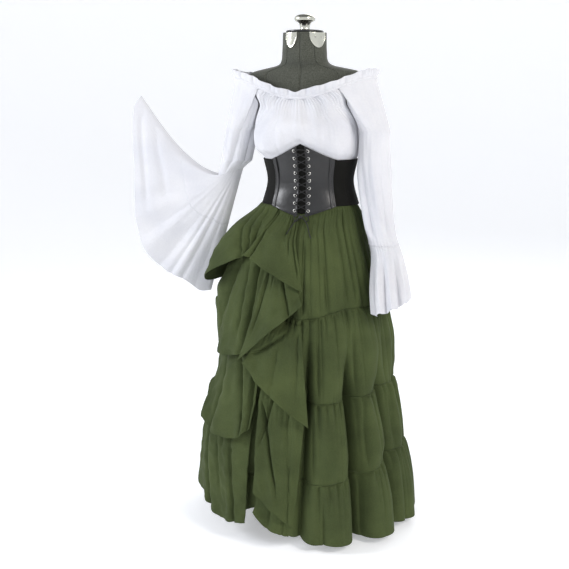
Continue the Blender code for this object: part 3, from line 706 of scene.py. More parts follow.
class Finishes:
    """Every material of the gown and its form, made once."""

    def __init__(self) -> None:
        """Makes the materials."""
        self.rayon = WovenCloth(
            "white crinkled rayon",
            "#d7d7da",
            "#cacbd1",
            thread_mm=1.6,
            crease_mm=7.0,
            crease_height_mm=1.3,
            stretch=0.45,
            roughness=0.85,
            sheen=0.15,
        ).make()
        self.cotton = WovenCloth(
            "green cotton gauze",
            "#485230",
            "#374025",
            thread_mm=1.4,
            crease_mm=14.0,
            crease_height_mm=1.4,
            stretch=0.7,
            roughness=0.92,
            sheen=0.12,
        ).make()
        self.vinyl = EmbossedVinyl().make()
        self.elastic = RibbedElastic().make()
        self.cord = BraidedCord().make()
        self.jersey = KnitJersey().make()
        self.steel = Metal("polished nickel", "#c9c8c2", roughness=0.16, smear=0.14).make()
        self.chrome = Metal("chrome plate", "#c4c4b8", roughness=0.08, smear=0.16).make()
        self.enamel = Paint("black enamel", "#151516", roughness=0.30).make()
        self.iron = Paint("painted cast iron", "#17181a", roughness=0.42, peel_mm=5.0).make()


# The figure and the layers over it


class Figure:
    """The dress form's outline, which every layer is worked out from."""

    ROWS = Profile((
        (0.760, 0.1180, 0.0850, 0.000, 0.000),
        (0.775, 0.1480, 0.1050, 0.000, 0.000),
        (0.805, 0.1580, 0.1120, 0.000, 0.000),
        (0.850, 0.1560, 0.1120, 0.000, 0.000),
        (0.900, 0.1470, 0.1070, 0.000, 0.000),
        (0.940, 0.1355, 0.1005, 0.000, 0.000),
        (1.006, 0.1190, 0.0905, 0.000, 0.000),
        (1.070, 0.1305, 0.1005, 0.000, -0.002),
        (1.120, 0.1340, 0.1065, -0.003, -0.004),
        (1.170, 0.1350, 0.1080, -0.006, -0.006),
        (1.220, 0.1400, 0.0970, -0.009, -0.005),
        (1.260, 0.1500, 0.0860, -0.011, -0.005),
        (1.290, 0.1660, 0.0760, -0.012, -0.006),
        (1.308, 0.1700, 0.0670, -0.012, -0.008),
        (1.318, 0.1550, 0.0600, -0.012, -0.010),
        (1.326, 0.1200, 0.0560, -0.012, -0.014),
        (1.334, 0.0820, 0.0540, -0.012, -0.020),
        (1.345, 0.0680, 0.0550, -0.012, -0.028),
        (1.370, 0.0640, 0.0570, -0.011, -0.034),
        (1.424, 0.0620, 0.0580, -0.010, -0.036),
    ))
    BOTTOM, TOP = 0.760, 1.424
    NECK_CENTRE = (-0.010, -0.036)

    def point(self, angle: Number, height: Number, out: Number = 0.0) -> Array:
        """Points a distance out from the form."""
        half_width, half_depth, x, y = self.ROWS.at(height)
        return round_point(x, y, half_width + out, half_depth + out, angle, height)


@dataclass
class Waist:
    """How far each layer lies from the form at the waist, and the cincher's edges."""

    chemise: float = 0.0024
    skirt: float = 0.0042
    modesty: float = 0.0062
    cincher: float = 0.0086
    cincher_wall: float = 0.0018
    top: float = 1.070
    peak: float = 1.117
    bottom: float = 0.940
    point: float = 0.906
    panel_angle: float = 41.0
    peak_reach: float = 46.0
    peak_power: float = 1.35
    point_reach: float = 44.0
    point_power: float = 1.15

    def upper(self, angle: Number) -> Number:
        """Height of the cincher's top edge."""
        away = np.minimum(1.0, np.abs(signed(angle)) / self.peak_reach)
        return self.top + (self.peak - self.top) * (1.0 - away) ** self.peak_power

    def lower(self, angle: Number) -> Number:
        """Height of the cincher's bottom edge."""
        away = np.minimum(1.0, np.abs(signed(angle)) / self.point_reach)
        return self.bottom - (self.bottom - self.point) * (1.0 - away) ** self.point_power


@dataclass
class Neckline:
    """The off-shoulder neckline: a level oval that dips at the front."""

    half_width: float = 0.208
    half_depth: float = 0.0950
    x: float = -0.016
    y: float = -0.010
    side: float = 1.300
    front_drop: float = 0.057
    back_drop: float = 0.015
    v_power: float = 4.0
    casing_half: float = 0.0042
    casing_thick: float = 0.0045
    ruffle: float = 0.021
    ruffle_waves: int = 23
    ruffle_depth: float = 0.0038

    def height(self, angle: Number) -> Number:
        """Height of the casing's middle."""
        c = np.cos(np.radians(angle))
        front = self.side - self.front_drop * np.abs(c) ** self.v_power
        return np.where(c > 0, front, self.side - self.back_drop * c * c)

    def point(self, angle: Number, out: Number = 0.0, up: Number = 0.0) -> Array:
        """Points on the neckline's oval."""
        height = self.height(angle) + up
        return round_point(self.x, self.y, self.half_width + out, self.half_depth + out, angle, height)

    def top_edge(self, angle: Number) -> Number:
        """Height where the panels below the casing start."""
        return self.height(angle) - self.casing_half * 0.6


@dataclass
class DressForm:
    """The limbless form: torso, neck cap, knob, dials, pole and base."""

    figure: Figure
    finish: Finishes
    cap_top: float = 1.431
    pole_radius: float = 0.0165
    base_radius: float = 0.160
    seam_angles: tuple[float, ...] = (0.0, 38.0, 90.0, 142.0, 180.0, 218.0, 270.0, 322.0)
    dial_left: tuple[float, float] = (25.0, 75.0)
    dial_right: tuple[float, float] = (-41.0, -8.0)

    def build(self) -> None:
        """Builds each piece of the form."""
        self.build_torso()
        self.build_cap()
        self.build_knob()
        for side in Side:
            self.build_dial(side)
        self.build_stand()

    def build_torso(self) -> None:
        """The padded torso with its sewn seams sunk a little."""
        low, high = self.figure.BOTTOM, self.figure.TOP
        heights = spaced((high, high - 0.11, 30), (high - 0.11, low + 0.045, 60), (low + 0.045, low, 12))
        beside = [seam + step for seam in self.seam_angles for step in (-1.3, -0.7, 0.0, 0.7, 1.3)]
        spacing, clear = 2.4, 0.6
        even = [
            turn
            for turn in np.arange(0.0, 360.0, spacing)
            if np.abs(signed(turn - np.array(beside))).min() > clear
        ]
        angles = np.sort(np.array(even + beside) % 360.0)
        height, angle = mesh_grid(heights, angles)
        sunk = sum(dent(signed(angle - seam), 0.0, 0.7) for seam in self.seam_angles)
        points = self.figure.point(angle, height, -0.0030 * sunk)
        torso = grid_object("torso_jersey", points, wrap=True, thick=0.0, cap=True)
        dress(torso, self.finish.jersey, Slot.JERSEY, "form_torso")

    def build_cap(self) -> None:
        """The black cap over the neck."""
        low = self.figure.TOP + 0.0003
        profile = [(0.050, self.cap_top), (0.053, self.cap_top - 0.0012), (0.0532, low + 0.002), (0.050, low)]
        cap = lathe_object("neck_cap", rounded(profile, 0.001), self.figure.NECK_CENTRE)
        dress(cap, self.finish.enamel, Slot.ENAMEL, "form_neck_cap")

    def build_knob(self) -> None:
        """The turned knob with its waisted stem."""
        outline = ((0.0004, 0.0451), (0.0100, 0.0448), (0.0215, 0.0425), (0.0290, 0.0375), (0.0305, 0.0310),
                   (0.0280, 0.0250), (0.0185, 0.0212), (0.0148, 0.0140), (0.0138, 0.0070), (0.0150, 0.0003))
        profile = [(radius, self.cap_top + up) for radius, up in rounded(outline, 0.003, 5)]
        knob = lathe_object("neck_knob", profile, self.figure.NECK_CENTRE)
        dress(knob, self.finish.chrome, Slot.CHROME, "form_knob")

    def build_dial(self, side: Side) -> None:
        """A plate curved round the neck's side, its lower edge a U, with two screws."""
        drop, share = mesh_grid(np.linspace(0.0, 1.0, 25), np.linspace(0.0, 1.0, 61))
        start, end = self.dial_left if side is Side.LEFT else self.dial_right
        angle = blend(start, end, share)
        depth = 0.040 * np.sin(np.pi * np.clip(share, 0.0, 1.0)) ** 0.5 + 0.002
        height = self.figure.TOP - 0.0005 - depth * drop
        rim = dent(drop, 1.0, 0.05) + dent(share, 0.0, 0.02) + dent(share, 1.0, 0.02)
        out = 0.0025 + 0.0009 * np.clip(rim, 0.0, 1.0)
        plate = grid_object("neck_dial_" + side.label, self.figure.point(angle, height, out), thick=0.0016)
        dress(plate, self.finish.chrome, Slot.CHROME, "form_neck_dial_" + side.label)
        for place, along in enumerate((0.30, 0.70)):
            screw_angle = float(blend(start, end, along))
            at = self.figure.point(screw_angle, self.figure.TOP - 0.014, 0.0028)
            head = self.screw(f"dial_screw_{side.label}_{place + 1}", at, screw_angle)
            dress(head, self.finish.steel, Slot.STEEL)

    def screw(self, name: str, at: Array, angle: float) -> bpy.types.Object:
        """A small domed screw head facing out from the neck."""
        rings = ((0.0, 0.0014), (0.0014, 0.0012), (0.0024, 0.0004), (0.0026, -0.0008))
        spin = np.linspace(0.0, 360.0, 20, endpoint=False)
        a = math.radians(angle)
        away = np.array([math.sin(a), -math.cos(a), 0.0])
        across = np.array([math.cos(a), math.sin(a), 0.0])
        up = np.array([0.0, 0.0, 1.0])
        lines = []
        for radius, lift in rings:
            turn = np.radians(spin)[:, None]
            lines.append(at + away * lift + radius * (across * np.sin(turn) - up * np.cos(turn)))
        return grid_object(name, np.stack(lines), wrap=True, thick=0.0, cap=True)

    def build_stand(self) -> None:
        """The pole and the cast base under the skirt."""
        r = self.base_radius
        outline = [(0.0004, 0.0500), (0.0260, 0.0500), (0.0300, 0.026), (0.050, 0.018), (r - 0.006, 0.012),
                   (r, 0.009), (r, 0.003), (r - 0.002, 0.0), (0.0004, 0.0)]
        base = lathe_object("base_casting", rounded(outline, 0.004), (0.0, 0.0), 120)
        dress(base, self.finish.iron, Slot.IRON, "stand_base")
        top = self.figure.BOTTOM - 0.0003
        outline = [(0.0004, top), (self.pole_radius, top), (self.pole_radius, 0.0503), (0.0004, 0.0503)]
        pole = lathe_object("pole_tube", rounded(outline, 0.0008), (0.0, 0.0), 48)
        dress(pole, self.finish.chrome, Slot.CHROME, "stand_pole")


@dataclass
class Chemise:
    """The white off-shoulder chemise: front, back, two raglan sleeves, two flounces, casing and ruffle."""

    figure: Figure
    waist: Waist
    neck: Neckline
    finish: Finishes
    underarm: float = 1.165
    raglan: float = 34.0
    raglan_shift: float = -0.35
    side_angle: float = 89.5
    sleeve_seam: float = 0.832
    flounce_hem: float = 0.662
    flounce_slope: float = 0.020
    body_cut: tuple[float, float] = (0.42, 0.40)
    cut_share: float = 0.78

    BLOUSE = Profile((
        (-0.085, 0.0024, 0.0024),
        (-0.030, 0.0024, 0.0024),
        (-0.004, 0.0024, 0.0024),
        (0.006, 0.0069, 0.0069),
        (0.018, 0.0110, 0.0170),
        (0.050, 0.0130, 0.0240),
        (0.095, 0.0120, 0.0190),
        (0.140, 0.0120, 0.0120),
        (0.200, 0.0140, 0.0100),
    ))
    ARM_TOP = 1.150
    ARM_CENTRE = (0.1930, -0.026)
    SLEEVE = Profile((
        (ARM_TOP, *ARM_CENTRE, 0.0440, 0.050),
        (1.040, 0.1915, -0.024, 0.0430, 0.050),
        (0.943, 0.2010, -0.026, 0.0415, 0.050),
        (0.872, 0.2160, -0.047, 0.0390, 0.052),
        (0.810, 0.2370, -0.060, 0.0430, 0.054),
        (0.750, 0.2490, -0.082, 0.0480, 0.064),
        (0.700, 0.2570, -0.100, 0.0515, 0.072),
        (0.600, 0.2730, -0.132, 0.0520, 0.080),
    ))
    RAISED = ((1.150, -0.2080, 0.000, 0.0450, 0.048), (1.060, -0.2300, 0.012, 0.0430, 0.040))
    SPREAD_EDGE = Profile((
        (0.00, -0.529, 1.250),
        (0.05, -0.550, 1.216),
        (0.19, -0.559, 1.107),
        (0.33, -0.562, 1.000),
        (0.46, -0.566, 0.909),
        (0.57, -0.558, 0.826),
        (0.65, -0.536, 0.768),
        (0.75, -0.478, 0.713),
        (0.86, -0.407, 0.681),
        (0.92, -0.370, 0.651),
        (1.00, -0.335, 0.650),
    ))
    ELBOW_OUTER = (-0.2955, 1.008)
    ELBOW_INNER = (-0.2160, 1.035)
    SPREAD_SEAM = 0.44
    SPREAD_THICK = 0.026
    SPREAD_SAG = 0.035

    def build(self) -> None:
        """Builds each piece of the chemise."""
        self.build_body("chemise_front", 0.0)
        self.build_body("chemise_back", 180.0)
        self.build_sleeve_left()
        self.build_flounce_left()
        self.build_sleeve_right()
        self.build_flounce_right()
        self.build_casing()
        self.build_ruffle()

    def body_point(self, angle: Number, height: Number, out: Number = 0.0) -> Array:
        """The body's outer side: on the form under the cincher, bloused above it, up to the neckline."""
        side, front = self.BLOUSE.at(height - self.waist.upper(angle))
        facing = np.maximum(0.0, np.cos(np.radians(angle))) ** 0.7
        puff = 0.012 * dent(signed(angle), -62.0, 26.0) * smooth((height - 1.078) / 0.02)
        puff = puff * smooth((1.20 - height) / 0.06)
        low = self.figure.point(angle, height, blend(side, front, facing) + puff + out)
        high = self.neck.point(angle, out)
        high[..., 2] = height
        share = smooth(1.0 - (self.neck.top_edge(angle) - height) / 0.075)
        return blend(low, high, share[..., None])

    def build_body(self, name: str, centre: float) -> None:
        """Front or back panel, gathered at the neck and tucked into the cincher.

        Args:
            name: the node that it stands for.
            centre: the angle of its middle.
        """
        downs = spaced((0.0, 0.55, 54), (0.55, 0.80, 28), (0.80, 1.0, 8))
        across = np.linspace(-1.0, 1.0, 241)
        v, u = mesh_grid(downs, across)
        share = np.clip(v / 0.55, 0.0, 1.0)
        half = np.where(v < 0.55, blend(self.raglan, self.side_angle, share), self.side_angle)
        angle = centre + u * half
        start = self.neck.top_edge(centre + u * self.raglan)
        edge = self.waist.upper(angle)
        rise = edge - self.waist.top
        upper = blend(start, self.underarm, share)
        bust = blend(self.underarm, edge + 0.006, smooth(np.clip((v - 0.55) / 0.25, 0.0, 1.0) * 0.5) * 2.0)
        low = np.clip((v - 0.80) / 0.20, 0.0, 1.0)
        level = blend(0.006, -0.083, low)
        tucked = self.waist.top + level + rise * smooth((level + 0.083) / 0.06)
        height = np.where(v < 0.55, upper, np.where(v < 0.80, bust, tucked))
        gathers = self.gathers(centre, u, angle, height, start)
        points = self.body_point(angle, height, gathers)
        panel = grid_object(name + "_panel", points)
        dress(panel, self.finish.rayon, Slot.WHITE, name)
        width, length = self.body_cut

    def gathers(self, centre: float, u: Number, angle: Number, height: Number, start: Number) -> Number:
        """Fine gathers under the neckline, and soft pouches over the cincher."""
        below = start - height
        phase = np.pi * 34.0 * u + 2.2 * np.sin(5.0 * u + centre) + 1.4 * np.sin(13.0 * u + 2.0)
        reach = 0.050 + 0.022 * np.sin(17.0 * u + 1.0) + 0.014 * np.sin(31.0 * u)
        fine = 0.0017 * pleat(phase, 0.9) * np.exp(-(below / reach) ** 1.5) * smooth(below / 0.004)
        base = 0.0030 * np.cos(np.pi * 7 * u) * smooth((height - 1.150) / 0.10)
        over = height - self.waist.upper(angle)
        pouch = 0.0020 * pleat(np.pi * 15.0 * u + 1.5 * np.sin(6.0 * u), 1.0)
        pouch = pouch * smooth(over / 0.012) * np.exp(-np.maximum(over, 0.0) / 0.030)
        drag = 0.0016 * np.sin(np.pi * 9.0 * u + 14.0 * below) * smooth(over / 0.05) * smooth(below / 0.05)
        return fine + base + pouch + drag

    def sleeve_top(self, turn: Number, side: Side) -> Array:
        """A sleeve's upper edge: along the neckline over the shoulder, then down both raglan seams."""
        outer = 100.0
        across = signed(turn)
        shift = self.raglan + self.raglan_shift
        over = 90.0 - across * (90.0 - shift) / outer
        shoulder = self.neck.point(side.value * over)
        shoulder[..., 2] = self.neck.top_edge(over)
        share = np.clip((np.abs(across) - outer) / (180.0 - outer), 0.0, 1.0)
        seam = blend(self.raglan, self.side_angle, share) + self.raglan_shift
        front = across >= 0
        seam = np.where(front, seam, 180.0 - seam)
        start = np.where(front, self.neck.top_edge(self.raglan), self.neck.top_edge(180.0 - self.raglan))
        height = blend(start, self.underarm, share)
        body = self.body_point(side.value * seam, height, 0.0012 * smooth(share * 6.0))
        return np.where((np.abs(across) <= outer)[..., None], shoulder, body)

    @staticmethod
    def sleeve_ring(row: Sequence[Number], turn: Number, side: Side) -> Array:
        """A sleeve's ring: turn 0 is the outer side and 90 the front."""
        height, x, y, half_width, half_depth = row
        a = np.radians(turn)
        across = x + side.value * half_width * np.cos(a)
        along = y - half_depth * np.sin(a)
        return np.stack(np.broadcast_arrays(across, along, height), axis=-1)

    @staticmethod
    def shoulder_gathers(turn: Number, v: Number) -> Number:
        """Fine gathers where the sleeve joins the casing."""
        phase = np.radians(turn * 21.0) + 1.5 * np.sin(np.radians(turn * 3.0))
        return 0.0016 * pleat(phase, 0.9) * np.exp(-v / 0.22) * smooth(v / 0.02)

    def build_sleeve_left(self) -> None:
        """The hanging sleeve: long soft folds that twist a little round the arm."""
        v, turn = mesh_grid(np.linspace(0.0, 1.0, 130), 180.0 - np.linspace(0.0, 360.0, 180, endpoint=False))
        cut, ease = 0.27, 0.86
        top = self.sleeve_top(turn, Side.LEFT)
        row = (self.ARM_TOP, *self.SLEEVE.at(self.ARM_TOP))
        joined = self.sleeve_ring(row, turn, Side.LEFT)
        start = smooth(np.clip(v / cut, 0.0, 1.0) * ease)
        height = blend(self.ARM_TOP, self.sleeve_seam, np.clip((v - cut) / (1.0 - cut), 0.0, 1.0))
        x, y, half_width, half_depth = self.SLEEVE.at(height)
        fall = smooth((v - cut) / 0.3)
        soft = 0.0035 * np.cos(np.radians(5 * turn + 30))
        phase = np.radians(7.0 * turn) + 3.4 * v + 1.3 * np.sin(np.radians(2.0 * turn))
        folds = (0.0042 * pleat(phase, 1.0) * smooth((v - 0.25) / 0.3) + soft) * fall
        folds = folds + 0.0014 * np.sin(np.radians(11.0 * turn) + 9.0 * v) * fall
        cuff = 0.0016 * pleat(np.radians(26.0 * turn) + np.sin(np.radians(5.0 * turn)), 0.9)
        folds = folds * smooth((1.0 - v) / 0.12) + cuff * np.exp(-(1.0 - v) / 0.05)
        lower = self.sleeve_ring((height, x, y, half_width + folds, half_depth + folds), turn, Side.LEFT)
        mixed = blend(top, joined, (start / smooth(ease))[..., None])
        points = np.where((v < cut)[..., None], mixed, lower)
        centre = np.array([*self.ARM_CENTRE, 0.0])
        away = points - centre
        away[..., 2] = 0.0
        away = away / np.maximum(np.linalg.norm(away, axis=-1, keepdims=True), 1e-6)
        points = points + away * self.shoulder_gathers(turn, v)[..., None]
        sleeve = grid_object("sleeve_left_cloth", points, wrap=True)
        dress(sleeve, self.finish.rayon, Slot.WHITE, "sleeve_left")

    def build_flounce_left(self) -> None:
        """The bell flounce at the wearer's left wrist, with deep flutes and a wavy hem."""
        v, turn = mesh_grid(np.linspace(0.0, 1.0, 54), -np.linspace(0.0, 360.0, 280, endpoint=False))
        hem = self.flounce_hem + self.flounce_slope * np.cos(np.radians(turn))
        hem = hem + 0.004 * np.sin(np.radians(9.0 * turn + 150.0))
        height = blend(self.sleeve_seam + SEAM_TUCK, hem, v)
        x, y, half_width, half_depth = self.SLEEVE.at(height)
        phase = np.radians(9.0 * turn + 60.0) + 0.5 * np.sin(np.radians(2.0 * turn))
        flute = 0.0115 * smooth(v * 1.6) * (0.75 * pleat(phase, 1.1) + 0.25 * np.cos(phase))
        fine = 0.0017 * pleat(np.radians(31.0 * turn) + 1.2 * np.sin(np.radians(4.0 * turn)), 0.9)
        flute = flute + fine * np.exp(-v / 0.22) * smooth(v / 0.02)
        flute = flute + 0.0018 * np.sin(np.radians(22.0 * turn) + 5.0 * v) * smooth(v)
        tucked = 0.0018 * smooth((height - self.sleeve_seam + 0.001) / 0.002)
        row = (height, x, y, half_width + 0.5 * flute - tucked, half_depth + flute - tucked)
        points = self.sleeve_ring(row, turn, Side.LEFT)
        flounce = grid_object("flounce_left_cloth", points, wrap=True)
        dress(flounce, self.finish.rayon, Slot.WHITE, "flounce_left")

    def spread_point(self, turn: Number, reach: Number, tucked: Number = 0.0) -> Array:
        """The raised sleeve's spread part: reach 0 is at the elbow and 1 at the edge."""
        a = np.radians(turn)
        share = (1.0 - np.cos(a)) / 2.0
        edge_x, edge_z = self.SPREAD_EDGE.at(share)
        x = blend(blend(self.ELBOW_OUTER[0], self.ELBOW_INNER[0], share), edge_x, reach)
        z = blend(blend(self.ELBOW_OUTER[1], self.ELBOW_INNER[1], share), edge_z, reach)
        z = z - self.SPREAD_SAG * np.sin(np.pi * reach) * (1.0 - share) ** 4
        plane = 0.030 + 0.10 * (1.0 - z)
        front = np.sin(a) > 0
        ridge = np.where(front, np.cos(np.radians(360.0 * share + 25.0)), np.sin(np.radians(340.0 * share)))
        finer = np.cos(np.radians(360.0 * 6.0 * share + 60.0 * np.sin(9.0 * share + 2.0 * reach)))
        finer = finer * smooth((reach - self.SPREAD_SEAM) / 0.3)
        low = smooth((share - 0.50) / 0.30)
        fold = (0.006 * ridge + 0.006 * finer * blend(0.30, 0.85, low)) * smooth(reach * 3.0)
        seed = np.where(front, 0.0, 2.0)
        rays = 2.0 * np.pi * 13.0 * share + 3.4 * np.sin(8.0 * share + seed) + 2.4 * reach
        uneven = 0.55 + 0.45 * np.sin(23.0 * share + 2.0 * seed + 2.0 * reach)
        round_edge = np.sin(np.abs(a)).clip(0, 1) ** 0.4
        fold = fold + 0.0040 * pleat(rays, 1.1) * uneven * low * smooth(reach / 0.5) * round_edge
        tip = dent(reach, 0.91 - 0.10 * share, 0.035) + 0.8 * dent(reach, 0.74 - 0.22 * share, 0.045)
        tip = tip * smooth(share / 0.05) * smooth((0.58 - share) / 0.30)
        fold = fold - 0.0052 * tip
        soft = np.sin(5.0 * share + 6.0 * reach + seed) * np.sin(9.0 * share - 4.0 * reach + 1.0)
        fold = fold + 0.0030 * soft * smooth(reach / 0.4)
        depth = blend(0.036, self.SPREAD_THICK, reach) + fold
        return np.stack(np.broadcast_arrays(x, plane - (depth - tucked) * np.sin(a), z), axis=-1)

    def build_sleeve_right(self) -> None:
        """The raised sleeve: over the shoulder, down the upper arm, then spread from the elbow."""
        v, turn = mesh_grid(np.linspace(0.0, 1.0, 130), np.linspace(0.0, 360.0, 200, endpoint=False) - 180.0)
        top = self.sleeve_top(turn, Side.RIGHT)
        first = self.sleeve_ring(self.RAISED[0], turn, Side.RIGHT)
        second = self.sleeve_ring(self.RAISED[1], turn, Side.RIGHT)
        stops = (0.0, 0.30, 0.48, 0.62, 1.0)
        a = smooth(np.clip((v - stops[0]) / (stops[1] - stops[0]), 0.0, 1.0))
        b = np.clip((v - stops[1]) / (stops[2] - stops[1]), 0.0, 1.0)
        c = np.clip((v - stops[2]) / (stops[3] - stops[2]), 0.0, 1.0)
        d = np.clip((v - stops[3]) / (stops[4] - stops[3]), 0.0, 1.0)
        reach = d * self.SPREAD_SEAM
        spread = self.spread_point(turn, reach)
        points = blend(top, first, a[..., None])
        points = blend(points, second, b[..., None])
        points = blend(points, spread, smooth(c)[..., None])
        arm = (a * (1.0 - smooth(c)))[..., None]
        phase = np.radians(8.0 * turn) + 7.0 * v + 1.2 * np.sin(np.radians(2.0 * turn))
        middle = points.mean(axis=1, keepdims=True)
        away = points - middle
        away = away / np.maximum(np.linalg.norm(away, axis=-1, keepdims=True), 1e-6)
        points = points + away * (0.0034 * pleat(phase, 1.0)[..., None] * arm)
        points = points + away * self.shoulder_gathers(turn, v)[..., None] * 0.8
        sleeve = grid_object("sleeve_right_cloth", points, wrap=True)
        dress(sleeve, self.finish.rayon, Slot.WHITE, "sleeve_right")

    def build_flounce_right(self) -> None:
        """The spread flounce, cut wide, with folds that fan out to its edge."""
        v, turn = mesh_grid(np.linspace(0.0, 1.0, 74), np.linspace(0.0, 360.0, 400, endpoint=False) - 180.0)
        reach = blend(self.SPREAD_SEAM - 0.016, 1.0, v)
        tucked = 0.0020 * smooth((self.SPREAD_SEAM + 0.001 - reach) / 0.004)
        points = self.spread_point(turn, reach, tucked)
        flounce = grid_object("flounce_right_cloth", points, wrap=True)
        dress(flounce, self.finish.rayon, Slot.WHITE, "flounce_right")

    def build_casing(self) -> None:
        """The elastic casing: a soft tube with close gathers."""
        turn, angle = mesh_grid(np.linspace(0.0, 360.0, 17), np.linspace(0.0, 360.0, 900, endpoint=False))
        pinch = 1.0 + 0.16 * pleat(np.radians(150.0 * angle) + 2.0 * np.sin(np.radians(7.0 * angle)), 0.8)
        t = np.radians(turn)
        out = self.neck.casing_thick * 0.5 * np.cos(t) * pinch * 1.25
        up = -self.neck.casing_half * np.sin(t)
        points = self.neck.point(angle, out, up)
        casing = grid_object("neck_casing_tube", points, wrap=True, thick=0.0)
        dress(casing, self.finish.rayon, Slot.WHITE, "neck_casing")

    def build_ruffle(self) -> None:
        """The narrow ruffle above the casing."""
        v, angle = mesh_grid(np.linspace(1.0, 0.0, 22), np.linspace(0.0, 360.0, 1100, endpoint=False))
        low = self.neck.casing_half * 0.6
        phase = np.radians(self.neck.ruffle_waves * angle) + 0.8 * np.sin(np.radians(5.0 * angle))
        flute = self.neck.ruffle_depth * pleat(phase, 1.1) * smooth(v * 1.3 + 0.15)
        finer = np.radians(67.0 * angle) + 1.8 * np.sin(np.radians(4.0 * angle))
        flute = flute + 0.0015 * pleat(finer, 0.9) * (0.4 + 0.6 * v)
        notch = 0.008 * dent(signed(angle), 0.0, 4.0)
        uneven = 0.0018 * np.sin(np.radians(7 * angle)) + 0.0010 * np.sin(np.radians(29 * angle + 40.0))
        up = low + v * (self.neck.ruffle - notch + uneven)
        points = self.neck.point(angle, 0.0012 + 0.004 * v + flute, up)
        ruffle = grid_object("neck_ruffle_frill", points, wrap=True, thick=0.0010)
        dress(ruffle, self.finish.rayon, Slot.WHITE, "neck_ruffle")


